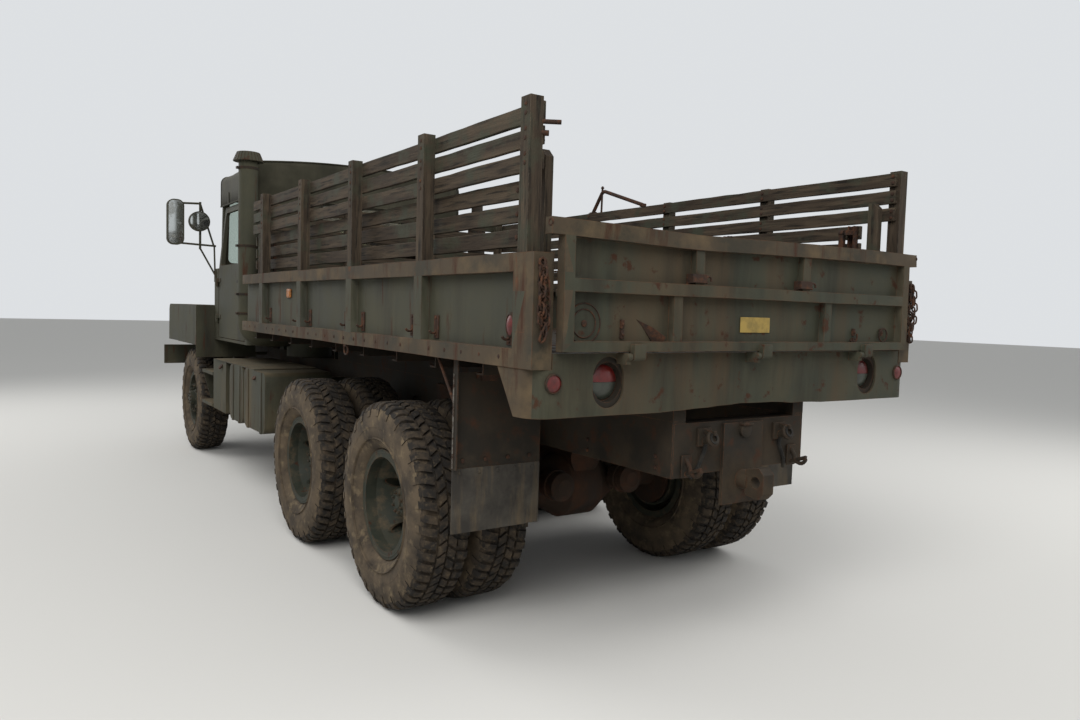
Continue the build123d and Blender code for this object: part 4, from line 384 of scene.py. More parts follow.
class Draft:
    """Collects the shapes of one piece."""

    def __init__(self):
        self.mesh = bmesh.new()

    def add(self, points, faces):
        made = [self.mesh.verts.new(point) for point in points]
        for face in faces:
            self.mesh.faces.new([made[index] for index in face])

    def block(self, one, other):
        """A box between two opposite corners."""
        spans = [sorted(pair) for pair in zip(one, other)]
        self.add([(x, y, z) for x in spans[0] for y in spans[1] for z in spans[2]], block_faces)

    def prism(self, first, second):
        """Two outlines with as many points, closed and joined."""
        count = len(first)
        faces = [tuple(range(count))[::-1], tuple(range(count, 2 * count))]
        for index in range(count):
            after = (index + 1) % count
            faces.append((index, after, after + count, index + count))
        self.add(first + second, faces)

    def slab(self, front, back, wide):
        """Two grids of points, kept row by row, closed round their edge."""
        size = len(front)
        rows = size // wide
        faces = grid_faces(wide, rows)
        faces += [tuple(index + size for index in face[::-1]) for face in faces]
        edge = list(range(wide)) + [row * wide + wide - 1 for row in range(1, rows)]
        edge += list(range(size - 2, size - wide - 1, -1)) + [row * wide for row in range(rows - 2, 0, -1)]
        faces += [(one, one + size, after + size, after) for one, after in zip(edge, edge[1:] + edge[:1])]
        self.add(front + back, faces)

    def tube(self, path, radius, sides=8, closed=False):
        """A round bar that follows a path of points."""
        points = [Vector(point) for point in path]
        count = len(points)
        rings = []
        side = None
        for index, point in enumerate(points):
            before = points[index - 1] if index or closed else point
            after = points[(index + 1) % count] if index < count - 1 or closed else point
            along = (after - before).normalized()
            side = side or along.orthogonal()
            side = (side - along * side.dot(along)).normalized()
            up = along.cross(side)
            turns = [step * math.tau / sides for step in range(sides)]
            rings.append(
                [
                    self.mesh.verts.new(point + (side * math.cos(turn) + up * math.sin(turn)) * radius)
                    for turn in turns
                ]
            )
        pairs = list(zip(rings, rings[1:]))
        if closed:
            pairs.append((rings[-1], rings[0]))
        for first, second in pairs:
            for step in range(sides):
                after = (step + 1) % sides
                self.mesh.faces.new((first[step], first[after], second[after], second[step]))
        if not closed:
            self.mesh.faces.new(rings[0][::-1])
            self.mesh.faces.new(rings[-1])

    def ring(self, centre, radius, wire, first, second, count=20, sides=6):
        """A round bar bent to a full circle."""
        self.tube(arc(centre, radius, 0, 360, count, first, second)[:-1], wire, sides, closed=True)

    def lathe(self, profile, place, steps=40):
        """A closed profile of (along, radius) points, turned about the X axis of its place."""
        count = len(profile)
        points = []
        for step in range(steps):
            turn = step * math.tau / steps
            for along, radius in profile:
                points.append(place @ Vector((along, radius * math.cos(turn), radius * math.sin(turn))))
        faces = []
        for step in range(steps):
            first = step * count
            second = (step + 1) % steps * count
            for index in range(count):
                after = (index + 1) % count
                faces.append((first + index, first + after, second + after, second + index))
        self.add(points, faces)

    def bolt(self, place, radius=0.011, height=0.008):
        """A bolt head with a domed top, on the X axis of its place."""
        profile = [(0, 0), (0, radius), (height * 0.7, radius * 0.92), (height, radius * 0.45), (height, 0)]
        self.lathe(profile, place, 10)

    def nut(self, place, radius, height):
        """A six-sided nut on its washer, with the stud's end through it."""
        self.lathe([(0, 0), (0, radius * 1.25), (0.003, radius * 1.25), (0.003, 0)], place, 12)
        self.lathe([(0.003, 0), (0.003, radius), (height, radius), (height, 0)], place, 6)
        stud = radius * 0.55
        self.lathe([(height, 0), (height, stud), (height + radius * 0.5, stud), (height + radius * 0.5, 0)], place, 8)

    def piece(self, name, body, finishes, rounding=0.0, pick=None):
        """Turns the draft into an object that rides on a body."""
        bmesh.ops.remove_doubles(self.mesh, verts=self.mesh.verts, dist=1e-5)
        bmesh.ops.dissolve_degenerate(self.mesh, edges=self.mesh.edges, dist=1e-5)
        bmesh.ops.recalc_face_normals(self.mesh, faces=self.mesh.faces)
        data = bpy.data.meshes.new(name)
        self.mesh.to_mesh(data)
        self.mesh.free()
        return dress(name, data, body, finishes, rounding, pick)


def dress(name, data, body, finishes, rounding=0.0, pick=None):
    """Makes an object of a mesh, with its finishes, and lets it ride on its body."""
    made = bpy.data.objects.new(name, data)
    scene.collection.objects.link(made)
    for one in finishes if isinstance(finishes, (list, tuple)) else (finishes,):
        data.materials.append(one)
    for face in data.polygons:
        face.use_smooth = True
        if pick:
            face.material_index = pick(face.center)
    data.set_sharp_from_angle(angle=sharp_angle)
    if rounding:
        bevel = made.modifiers.new("rounding", "BEVEL")
        bevel.width = rounding
        bevel.segments = 2
        bevel.limit_method = "ANGLE"
        bevel.angle_limit = sharp_angle
    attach(made, body)
    return made


def facing(point, direction):
    """A place whose X axis points in a direction."""
    along = Vector(direction).normalized()
    return Matrix.Translation(point) @ along.to_track_quat("X", "Z").to_matrix().to_4x4()


def arc(centre, radius, start, end, count, first, second):
    """Points on an arc from start to end in degrees, in the plane of two directions."""
    points = []
    for step in range(count + 1):
        turn = math.radians(start + (end - start) * step / count)
        offset = Vector(first) * math.cos(turn) + Vector(second) * math.sin(turn)
        points.append(Vector(centre) + offset * radius)
    return points


def drift(point):
    """Smooth noise along each axis, the same in each run, unlike Blender's own vector noise."""
    return Vector([noise.noise(point + Vector(shift)) for shift in ((9.3, 1.5, 7.9), (0, 0, 0), (6.3, 2.1, 4.4))])


# Worn sheet metal: a node's own form, its faces cut finer and pushed in and out by years of knocks
def worn(node, finishes, slot, depth=0.003, size=0.45, grid=0.12, rounding=0.0025, pick=None, bend=None):
    low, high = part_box(node)
    mesh = bmesh.new()
    mesh.from_mesh(frame["nodes"][node].data)
    bmesh.ops.remove_doubles(mesh, verts=mesh.verts, dist=2e-5)
    for axis in range(3):
        normal = Vector([float(axis == one) for one in range(3)])
        count = int((high[axis] - low[axis]) / grid)
        for step in range(1, count):
            place = low + normal * (high[axis] - low[axis]) * step / count
            whole = mesh.verts[:] + mesh.edges[:] + mesh.faces[:]
            bmesh.ops.bisect_plane(mesh, geom=whole, dist=1e-6, plane_co=place, plane_no=normal)
    for vert in mesh.verts:
        knock = drift(vert.co / size) * depth
        if bend:
            knock += Vector(bend(vert.co))
        vert.co += knock
    mesh.normal_update()
    data = bpy.data.meshes.new(node + "_worn")
    mesh.to_mesh(data)
    mesh.free()
    made = dress(node + "_worn", data, body_of_node[node], finishes, rounding, pick)
    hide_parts(node)
    return made


# Tyres: a carcass with a browned sidewall, two rows of notched shoulder lugs and two of centre lugs
# Each outline is a row of points, across from the tyre's middle and out from its axle
lug_count = 54
carcass = (
    (0.093, 0.2546), (0.093, 0.289), (0.108, 0.298), (0.124, 0.318), (0.138, 0.348), (0.145, 0.382),
    (0.1455, 0.415), (0.141, 0.450), (0.134, 0.478), (0.128, 0.500), (0.112, 0.515), (0.060, 0.5195),
)
shoulder_lug = (
    (0.058, 0.512), (0.060, 0.5352), (0.100, 0.5335), (0.122, 0.5235), (0.1365, 0.492), (0.1425, 0.462), (0.130, 0.470),
)
short_lug = ((0.058, 0.512), (0.060, 0.5352), (0.096, 0.5335), (0.115, 0.5240), (0.1315, 0.498), (0.120, 0.490))
centre_lug = ((0.005, 0.512), (0.006, 0.5362), (0.046, 0.5356), (0.047, 0.512))
sidewall_bead_rs = (0.345, 0.402)
tread_edge_r = 0.5


def lug(draft, place, outline, side, turn, half, skew):
    ends = []
    for end in (-half, half):
        angles = [turn + end + skew * across for across, radius in outline]
        ends.append([
            place @ Vector((side * across, radius * math.cos(angle), radius * math.sin(angle)))
            for (across, radius), angle in zip(outline, angles)
        ])
    draft.prism(*ends)


def tyre(draft, place):
    profile = list(carcass) + [(-across, radius) for across, radius in reversed(carcass)]
    draft.lathe(profile, place, 108)
    pitch = math.tau / lug_count
    for index in range(lug_count):
        turn = index * pitch
        for side in (1, -1):
            outline = shoulder_lug if (index + (side < 0)) % 2 else short_lug
            lug(draft, place, outline, side, turn + side * pitch / 4, pitch * 0.31, 0.5 * side)
            lug(draft, place, centre_lug, side, turn + (side + 1) * pitch / 4, pitch * 0.37, -1.3)
    for side in (1, -1):
        for radius in sidewall_bead_rs:
            bead = [(side * 0.137, radius - 0.004), (side * 0.1462, radius), (side * 0.137, radius + 0.004)]
            draft.lathe(bead, place, 96)


def tyre_piece(name, places, body, node):
    centre = places[0].to_translation()
    axis = (places[0].to_3x3() @ Vector(x_way)).normalized()

    def pick(point):
        arm = point - centre
        return int((arm - axis * arm.dot(axis)).length < tread_edge_r)

    draft = Draft()
    for place in places:
        tyre(draft, place)
    made = draft.piece(name, body, [tread_rubber, sidewall_rubber], pick=pick)
    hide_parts(node)


# Distances along a wheel's axle from the middle of its outer tyre, and out from the axle
lock_ring_x, lock_ring_r = 0.096, 0.269
hub_stud_r, cap_stud_r = 0.139, 0.052


def wheel_details(name, place, body, hub_face, cap_face):
    """Nuts on the hub's flange, nuts on the hub's cap, the rim's lock ring and the valve."""
    draft = Draft()
    for face, reach, count, shift, size in (
        (hub_face, hub_stud_r, 10, 0, (0.017, 0.024)), (cap_face, cap_stud_r, 8, 0.5, (0.009, 0.010))
    ):
        for index in range(count):
            turn = (index + shift) * math.tau / count
            spot = Matrix.Translation((face, reach * math.cos(turn), reach * math.sin(turn)))
            draft.nut(place @ spot, *size)
    cap = [(cap_face, 0), (cap_face, 0.034), (cap_face + 0.006, 0.030), (cap_face + 0.008, 0)]
    draft.lathe(cap, place, 24)
    ring = arc((0, 0, 0), 1, 0, 360, 48, y_way, z_way)
    draft.tube([place @ (Vector((lock_ring_x, 0, 0)) + one * lock_ring_r) for one in ring[:-1]], 0.008, 8, closed=True)
    stem = ((lock_ring_x - 0.01, 0.215, 0.03), (lock_ring_x - 0.03, 0.222, 0.03), (lock_ring_x - 0.075, 0.236, 0.03))
    draft.tube([place @ Vector(one) for one in stem], 0.005, 8)
    draft.piece(name, body, rim_green, 0.0012)


def wheels():
    for row, single in (("front", True), ("middle", False), ("rear", False)):
        for word, side in (("left", 1), ("right", -1)):
            node = ("tyre_" if single else "tyres_") + row + "_" + word
            body = "wheel_" + row + "_" + word
            low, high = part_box(node)
            middle_x = (low.x + high.x) / 2
            outward = Matrix.Rotation(math.radians(90 * side), 4, "Z")
            ys = [(low.y + high.y) / 2] if single else [low.y + tyre_half_w, high.y - tyre_half_w]
            outer_y = max(ys, key=abs)
            places = [Matrix.Translation((middle_x, y, axle_z)) @ outward for y in ys]
            tyre_piece("tread_" + row + "_" + word, places, body, node)
            rim_low, rim_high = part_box(("rim_" if single else "rims_") + row + "_" + word)
            hub_end = max(abs(rim_low.y), abs(rim_high.y)) - abs(outer_y)
            place = Matrix.Translation((middle_x, outer_y, axle_z)) @ outward
            faces = (0.090, hub_end) if single else (-0.155, 0.022)
            wheel_details("wheel_nuts_" + row + "_" + word, place, body, *faces)


wheels()
spare_low, spare_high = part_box("spare_tyre")
tyre_piece("spare_tread", [Matrix.Translation((spare_low + spare_high) / 2)], "chassis", "spare_tyre")


# Rack boards: each one warped by the weather, with bolts through every stake
def board(draft, low, high, along, chance, bow=0.006):
    """A board between two corners, cut in short lengths along X (0) or Y (1), and warped."""
    count = max(8, int((high[along] - low[along]) / 0.12))
    lift = chance.uniform(-1, 1) * bow
    swing = chance.uniform(-1, 1) * bow * 0.5
    shift = chance.uniform(0, 50)
    points = []
    for step in range(count + 1):
        share = step / count
        arch = math.sin(share * math.pi)
        place = low[along] + (high[along] - low[along]) * share
        wave = drift(Vector((place * 1.6, shift, 0.0))) * 0.004
        across = 1 - along
        for edge, z in ((0, 0), (1, 0), (1, 1), (0, 1)):
            point = [0, 0, 0]
            point[along] = place
            point[across] = (low[across], high[across])[edge] + swing * arch + wave.x * 0.6
            chip = noise.noise((place * 9, shift, z * 7.0)) * 0.0025
            point[2] = (low[2], high[2])[z] + lift * arch + wave.y + (chip if z else -chip)
            points.append(point)
    faces = [(0, 1, 2, 3), tuple(count * 4 + index for index in (3, 2, 1, 0))]
    for first in range(0, count * 4, 4):
        for edge in range(4):
            after = (edge + 1) % 4
            faces.append((first + edge, first + after, first + 4 + after, first + 4 + edge))
    draft.add(points, faces)


slat_h, slat_pitch, slat_thick = 0.070, 0.092, 0.022
rack_count, front_count = 3, 6
seat_board_h, seat_pitch, seat_board_count = 0.072, 0.094, 4
stake_xs = [side_low.x + 0.091 + index * 0.890 for index in range(5)]
stake_in_y, stake_out_y = 1.153, 1.2115
front_stake_ys = (1.08, 0.38, -0.38, -1.08)
front_board_x = 0.320
board_rear_x = stake_xs[0] - 0.016
bolt_drops = (0.018, 0.052)


def rack_boards():
    chance = random.Random(11)
    sides = Draft()
    across = Draft()
    bolts = Draft()
    top = slat_high.z
    for side in (1, -1):
        ys = sorted((side * (stake_in_y - slat_thick), side * stake_in_y))
        for index in range(rack_count):
            z1 = top - index * slat_pitch - 0.004
            board(sides, (board_rear_x, ys[0], z1 - slat_h), (front_board_x - 0.010, ys[1], z1), 0, chance, 0.004)
            for x in stake_xs:
                for drop in bolt_drops:
                    bolts.bolt(facing((x, side * stake_out_y, z1 - drop), (0, side, 0)), 0.009, 0.003)
                    inside = (x, side * (stake_in_y - slat_thick), z1 - drop)
                    bolts.bolt(facing(inside, (0, -side, 0)), 0.010, 0.006)
    for index in range(front_count):
        z1 = top - index * slat_pitch
        low = (front_board_x, slat_low.y + 0.030, z1 - slat_h)
        board(across, low, (front_board_x + slat_thick, slat_high.y - 0.030, z1), 1, chance, 0.004)
        for y in front_stake_ys:
            for drop in bolt_drops:
                bolts.bolt(facing((front_board_x + slat_thick, y, z1 - drop), x_way), 0.009, 0.005)
    boards = sides.piece("rack_boards", "chassis", side_oak, 0.003)
    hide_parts("rack_slats")
    across.piece("front_boards", "chassis", cross_oak, 0.003)
    bolts.piece("rack_bolts", "chassis", rusty_steel)


rack_boards()
seat_pin_y, seat_pin_z = 1.075, 1.737
leg_pin_y, leg_pin_z = 1.038, 2.039


# Folding seats: four warped boards on five swing brackets, each with its bolts, and the legs' pins
def folding_seat(word, side):
    chance = random.Random(21 + side)
    boards = Draft()
    iron = Draft()
    y_far = seat_high.y
    y_near = y_far - slat_thick
    x0, x1 = seat_low.x, seat_high.x
    ys = sorted((side * y_near, side * y_far))
    for index in range(seat_board_count):
        z1 = seat_high.z - index * seat_pitch
        board(boards, (x0, ys[0], z1 - seat_board_h), (x1, ys[1], z1), 0, chance, 0.002)
    pitch = (x1 - x0 - 0.060) / 4
    for index in range(5):
        x = x0 + 0.030 + index * pitch
        for edge in (-0.020, 0.014):
            low = (x + edge, side * (y_near - 0.040), seat_low.z + 0.002)
            iron.block(low, (x + edge + 0.006, side * y_near, seat_high.z - 0.002))
        iron.block((x - 0.020, side * (y_near - 0.006), seat_low.z + 0.008), (x + 0.020, side * y_near, seat_high.z))
        iron.tube([(x + end, side * seat_pin_y, seat_pin_z) for end in (-0.026, 0.022)], 0.013, 12)
        for row in range(seat_board_count):
            z = seat_high.z - row * seat_pitch - seat_board_h / 2
            iron.bolt(facing((x, side * y_far, z), (0, side, 0)), 0.011, 0.005)
    for index, way in ((0, 1), (2, 1), (4, -1)):
        x = x0 + 0.030 + index * pitch
        iron.tube([(end, side * leg_pin_y, leg_pin_z) for end in (x, x + way * 0.058)], 0.009, 12)
        low = (x - 0.018, side * (leg_pin_y - 0.014), leg_pin_z - 0.014)
        iron.block(low, (x + 0.018, side * (y_near - 0.038), leg_pin_z + 0.014))
    made = boards.piece("seat_boards_" + word, "seat_" + word, side_oak, 0.003)
    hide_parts("seat_" + word)
    iron.piece("seat_brackets_" + word, "seat_" + word, rusty_steel, 0.001)


folding_seat("left", 1)
folding_seat("right", -1)


# Bed: dusty rails over greener side sheets, with rivets, lashing hooks, reflectors and a ring
top_rail_low_z = 1.710
bottom_rail_top_z = 1.416
sheet_out_y = 1.173
corner_post_x = -3.69


def rail_or_sheet(point):
    return int(point.z > top_rail_low_z or point.z < bottom_rail_top_z or point.x < corner_post_x)


worn("bed_sides", [olive, dusty_olive], "olive_paint", 0.0035, 0.5, 0.14, 0.002, rail_or_sheet)
worn("headboard", olive, "olive_paint", 0.003)
worn("bed_floor", chassis_black, "frame_paint", 0.003, 0.5, 0.25, 0.0)

def bed_hardware():
    rivets = Draft()
    hooks = Draft()
    for side in (1, -1):
        out = (0, side, 0)
        for index in range(27):
            x = side_low.x + 0.08 + index * 0.155
            if min(abs(x - one) for one in stake_xs) >= 0.05:
                rivets.bolt(facing((x, side_high.y * side - side * 0.003, 1.380), out), 0.010, 0.006)
        y = side * sheet_out_y
        for start, end in zip(stake_xs, stake_xs[1:]):
            for x in (start + 0.042 + 0.085, end - 0.042 - 0.085):
                hooks.block((x - 0.022, y, 1.425), (x + 0.022, y + side * 0.006, 1.530))
                curl = arc((x, y + side * 0.022, 1.466), 0.018, 180, 20, 8, out, (0, 0, -1))
                stem = [Vector((x, y + side * 0.004, z)) for z in (1.505, 1.480)]
                hooks.tube(stem + curl, 0.006, 8)
                for z in (1.440, 1.518):
                    hooks.bolt(facing((x, y + side * 0.006, z), out), 0.007, 0.005)
    hooks.ring((-1.849, 1.196, 1.312), 0.028, 0.006, x_way, z_way, sides=8)
    hooks.block((-1.870, 1.186, 1.330), (-1.828, 1.206, 1.346))
    for z, reach, radius in ((2.270, 0.080, 0.009), (2.228, 0.034, 0.011)):
        root = Vector((stake_xs[0] - 0.022, 1.160, z))
        hooks.tube([root, root + Vector((-0.5, -0.86, 0)) * reach], radius, 10)
    rivets.piece("bed_rivets", "chassis", rusty_steel)
    hooks.piece("lashing_hooks", "chassis", rusty_steel, 0.001)


bed_hardware()


def disc_profile(radius, thick):
    """A lens: flat behind, crowned in front, with a stepped rim."""
    steps = ((0, 0), (0, 1), (0.45, 1), (0.55, 0.90), (0.85, 0.6), (1, 0.25), (1, 0))
    return [(thick * along, radius * out) for along, out in steps]


def bezel(draft, place, radius, wide, deep):
    """A pressed ring round a lens."""
    profile = [(0, radius), (0, radius + wide), (deep * 0.6, radius + wide), (deep, radius + wide * 0.4), (deep, radius)]
    draft.lathe(profile, place, 40)


sill_face_x = lamp_low.x
lamp_y, lamp_z = 0.847, 1.288
lens_r = 0.069
cup_deep = 0.035
reflector_y, reflector_r = 1.115, 0.034
side_marker = (-3.579, 1.504)
amber_x0, amber_z0 = -0.753, 1.604


def half_lens(draft, place, radius, thick, start, end):
    """Half of a crowned round lens, from start to end in degrees."""
    rings = 6
    wide = 21
    turns = [math.radians(start + (end - start) * step / (wide - 1)) for step in range(wide)]

    def row(depth, reach):
        return [place @ Vector((depth, reach * math.cos(turn), reach * math.sin(turn))) for turn in turns]

    points = []
    for ring in range(rings + 1):
        share = ring / rings
        points += row(thick * (1 - share**3), radius * share)
    back = len(points)
    points += row(0, radius) + [place @ Vector((0, 0, 0))]
    centre = back + wide
    faces = grid_faces(wide, rings + 1)
    for one in range(back, centre - 1):
        faces += [(one - wide, one - wide + 1, one + 1, one), (one, one + 1, centre)]
    for column in (0, wide - 1):
        faces.append((*range(column, back + wide, wide), centre))
    draft.add(points, faces)


def rear_lamps():
    red = Draft()
    grey = Draft()
    rims = Draft()
    amber = Draft()
    cup = [(0, 0), (0, 0.079), (0.030, 0.079), (0.030, 0.100), (cup_deep, 0.100), (cup_deep, 0.074), (0.004, 0.071)]
    for side in (1, -1):
        place = facing((sill_face_x + 0.010 + cup_deep, side * lamp_y, lamp_z), (-1, 0, 0))
        rims.lathe(cup + [(0.004, 0)], place @ Matrix.Diagonal((1, 1, 1.08, 1)), 48)
        glass = place @ Matrix.Translation((0.006, 0, 0))
        half_lens(red, glass, lens_r, 0.020, 1, 179)
        half_lens(grey, glass, lens_r, 0.017, 181, 359)
        spot = facing((sill_face_x, side * reflector_y, lamp_z + 0.002), (-1, 0, 0))
        red.lathe(disc_profile(reflector_r, 0.010), spot, 28)
        bezel(rims, spot, 0.033, 0.006, 0.009)
        marker = facing((side_marker[0], side * sheet_out_y, side_marker[1]), (0, side, 0))
        oval = marker @ Matrix.Diagonal((1, 0.85, 1.35, 1))
        red.lathe(disc_profile(0.031, 0.018), oval, 28)
        bezel(rims, oval, 0.030, 0.008, 0.012)
        for inset_x, inset_z, thick in ((0, 0, 0.012), (0.008, 0.007, 0.015)):
            low = (amber_x0 + inset_x, side * sheet_out_y, amber_z0 + inset_z)
            high = (amber_x0 + 0.080 - inset_x, side * (sheet_out_y + thick), amber_z0 + 0.060 - inset_z)
            amber.block(low, high)
    red.piece("red_lenses", "chassis", red_lens)
    grey.piece("grey_lenses", "chassis", grey_lens)
    made = rims.piece("lamp_cups", "chassis", chassis_black)
    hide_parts("lamps")
    amber.piece("amber_reflectors", "chassis", amber_lens, 0.004)


rear_lamps()


# Rear sill: bent up in its middle, with a torn lower edge
def sill_bend(point):
    if abs(point.y) > 0.72 or point.z > 1.30:
        return (0, 0, 0)
    low = max(0.0, (1.30 - point.z) / 0.14)
    fade = 1 - (abs(point.y) / 0.72) ** 2
    up = 0.016 * math.exp(-(((point.y - 0.02) / 0.35) ** 2)) + 0.006 * noise.noise((point.y * 9, 3.1, 0))
    tear = 0.010 * noise.noise((point.y * 14, 7.7, 1))
    return ((0.008 + tear) * low * fade, 0, max(0.0, up) * low * fade)


worn("rear_sill", [sill_green, dusty_olive], "olive_paint", 0.003, 0.4, 0.07, 0.002,
     lambda point: int(abs(point.y) > 1.19), sill_bend)


# Tailgate: sheet pushed between its ribs, and a top rail that sags to a kink
kink_y = 0.396
hinge_hold_z = 1.50


def gate_bend(point):
    hold = min(1.0, max(0.0, (point.z - hinge_hold_z) / 0.25))
    sag = -0.014 * max(0.0, 1 - abs(point.y - kink_y) / 0.75) if point.z > 1.84 else 0.0
    dent = 0.012 * noise.noise((point.y * 2.3, point.z * 3.1, 4.4))
    crease = 0.006 * noise.noise((point.y * 7.0, point.z * 6.0, 9.2))
    return ((dent + crease) * hold, 0, sag)


def gate_pick(point):
    return int(point.z > gate_high.z - 0.064 or abs(point.y) > 1.09)


worn("tailgate", [sill_green, dusty_olive], "olive_paint", 0.0015, 0.4, 0.06, 0.002, gate_pick, gate_bend)


gate_face_x = gate_high.x - 0.005
bracket_out_x = gate_face_x - 0.040
boss_y, boss_z = 0.985, 1.520


# On the tailgate: hold-open brackets, a round boss, a torn strip, clips, rings, a handle and the plain yellow plate
def gate_hardware():
    iron = Draft()
    body = "tailgate"
    face_x, out_x = gate_face_x, bracket_out_x
    for y in (0.405, -0.286):
        outline = ((out_x, 1.735), (out_x - 0.002, 1.700), (face_x, 1.690), (face_x, 1.735))
        iron.prism(*[[(x, y + edge, z) for x, z in outline] for edge in (-0.030, 0.050)])
        iron.tube(arc((out_x + 0.004, y - 0.045, 1.712), 0.016, -60, 200, 8, y_way, z_way), 0.005, 6)
    for radius in (0.055, 0.078):
        iron.ring((face_x - 0.001, boss_y, boss_z), radius, 0.003, y_way, z_way, 36)
    iron.bolt(facing((face_x, boss_y, boss_z), (-1, 0, 0)), 0.014, 0.006)
    strip = (
        (0.002, 0.722, 1.540), (0.012, 0.640, 1.508), (0.030, 0.585, 1.470),
        (0.002, 0.690, 1.512), (0.006, 0.640, 1.450), (0.014, 0.598, 1.430),
    )
    front = [Vector((face_x - out, y, z)) for out, y, z in strip]
    iron.slab(front, [one + Vector((0.004, 0, 0)) for one in front], 3)
    for y, z in ((0.800, 1.480), (0.800, 1.520), (-0.700, 1.500), (-0.700, 1.455), (-0.930, 1.500)):
        iron.block((face_x - 0.012, y - 0.008, z - 0.018), (face_x, y + 0.008, z + 0.018))
        iron.bolt(facing((face_x - 0.012, y, z), (-1, 0, 0)), 0.007, 0.006)
    iron.ring((face_x - 0.010, -0.945, 1.488), 0.034, 0.004, y_way, z_way)
    iron.tube(arc((face_x - 0.014, -0.690, 1.478), 0.030, 150, 330, 8, y_way, z_way), 0.005, 6)
    for side in (1, -1):
        iron.ring((out_x + 0.015, side * 1.168, 1.890), 0.012, 0.004, x_way, z_way, 14)
    iron.piece("gate_hardware", body, rusty_steel, 0.001)
    plate = Draft()
    plate.block((face_x - 0.004, -0.076, 1.492), (face_x - 0.001, 0.118, 1.561))
    plate.piece("yellow_plate", body, yellow_plate, 0.0015)


gate_hardware()


# Tailgate chains: real links, bunched at each rear corner
def chain_link(draft, centre, along, across, length, width, wire):
    along = along.normalized()
    across = (across - along * across.dot(along)).normalized()
    half = (length - width) / 2
    path = []
    for way in (1, -1):
        for step in range(7):
            turn = math.radians(-90 + step * 30)
            reach = along * (half + math.cos(turn) * width / 2)
            path.append(centre + way * (reach + across * math.sin(turn) * width / 2))
    draft.tube(path, wire, 6, closed=True)


def chain_run(draft, points, length, width, wire):
    """Links from end to end along a path, each turned a quarter against the one before."""
    inner = length - 4 * wire
    route = [Vector(one) for one in points]
    spans = [(second - first).length for first, second in zip(route, route[1:])]
    total = sum(spans)
    count = int(total / inner)
    for index in range(count):
        reach = (index + 0.5) * total / count
        for span, first, second in zip(spans, route, route[1:]):
            if reach <= span:
                break
            reach -= span
        along = (second - first).normalized()
        spot = first + along * reach
        flat = along.cross(Vector((1, 0.4, 0.2))).normalized()
        across = flat if index % 2 else along.cross(flat)
        chain_link(draft, spot, along, across, length, width, wire)


# Each run, left side: how far behind the post and how far out it lies, and its height
chain_runs = (
    ((-0.008, 0, 1.752), (0, 0.006, 1.66), (0.004, 0, 1.57), (0, -0.010, 1.49), (0, 0, 1.455)),
    ((0, 0, 1.455), (0.006, -0.016, 1.50), (0, -0.022, 1.59), (0.002, -0.014, 1.68), (-0.006, -0.004, 1.735)),
    ((0.008, 0, 1.72), (0.012, 0.010, 1.62), (0.006, 0.012, 1.52)),
)


def chains():
    draft = Draft()
    x = side_low.x - 0.020
    for side in (1, -1):
        y = 1.188 * side
        for run in chain_runs:
            chain_run(draft, [(x - back, y + out * side, z) for back, out, z in run], 0.046, 0.026, 0.0042)
        hook = arc((x + 0.004, y, 1.744), 0.014, -200, 90, 10, y_way, z_way)
        draft.tube([(side_low.x + 0.004, y, 1.756)] + hook, 0.006, 8)
    made = draft.piece("chain_links", "chassis", rusty_steel)
    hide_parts("chains")


chains()


# Mud flaps: thick rubber sheets with a wavy face and a frayed lower edge, and a bright steel edge on the left
def flaps():
    draft = Draft()
    steps = 18
    rows = 10
    for side in (1, -1):
        layers = ([], [])
        for layer, points in enumerate(layers):
            for row in range(rows + 1):
                z = flap_high.z - (flap_high.z - flap_low.z) * row / rows
                for step in range(steps + 1):
                    y = 0.700 + 0.470 * step / steps
                    drop = row / rows
                    wave = 0.5 + 0.5 * math.sin(y * 9.0 + side)
                    x = flap_low.x + 0.0015 + layer * 0.0065 + wave * 0.004 * drop * (1 - layer)
                    fray = 0.006 * noise.noise((y * 12, side, 0.3)) if row == rows else 0
                    points.append((x, side * y, z + max(0, fray)))
        draft.slab(*layers, steps + 1)
        for step in range(5):
            spot = (flap_low.x + 0.002, side * (0.740 + step * 0.098), flap_high.z - 0.020)
            draft.bolt(facing(spot, (-1, 0, 0)), 0.010, 0.006)
    made = draft.piece("rubber_flaps", "chassis", flap_rubber)
    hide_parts("mud_flaps")
    edges = Draft()
    edges.tube([(flap_high.x - 0.010, 1.172, z) for z in (0.85, 1.275)], 0.004, 8)
    edges.piece("flap_edge", "chassis", dull_zinc)


flaps()


# Canvas top: one waxed sheet over three bows, sagging between them, with a rear curtain and a front valance
bow_xs = (canvas_low.x + 0.02, (canvas_low.x + canvas_high.x) / 2 - 0.06, canvas_high.x - 0.06)
canvas_half_w = 0.995
corner_r = 0.070
flat_half_w = canvas_half_w - corner_r
crown = 0.060
shoulder_z = 2.780
corner_z = shoulder_z - corner_r
hem_z = 2.60
door_top_z = 2.482
curtain_low_z = 1.945
curtain_window = (-0.38, 0.38, 2.125, 2.465)


def bow_section(count):
    """Round corners and a crowned roof, from the left edge over to the right, as (y, z) points."""
    points = []
    for step in range(7):
        turn = math.radians(step * 15)
        points.append((flat_half_w + corner_r * math.cos(turn), corner_z + corner_r * math.sin(turn)))
    for step in range(1, count):
        y = flat_half_w - 2 * flat_half_w * step / count
        points.append((y, shoulder_z + crown * (1 - (y / flat_half_w) ** 2) * 0.93))
    return points + [(-y, z) for y, z in reversed(points[:7])]


def sag(x):
    """How far the cloth hangs between two bows, from 0 at a bow to 1 midway."""
    for first, second in zip(bow_xs, bow_xs[1:]):
        if first <= x <= second:
            return math.sin((x - first) / (second - first) * math.pi)
    return 0.0


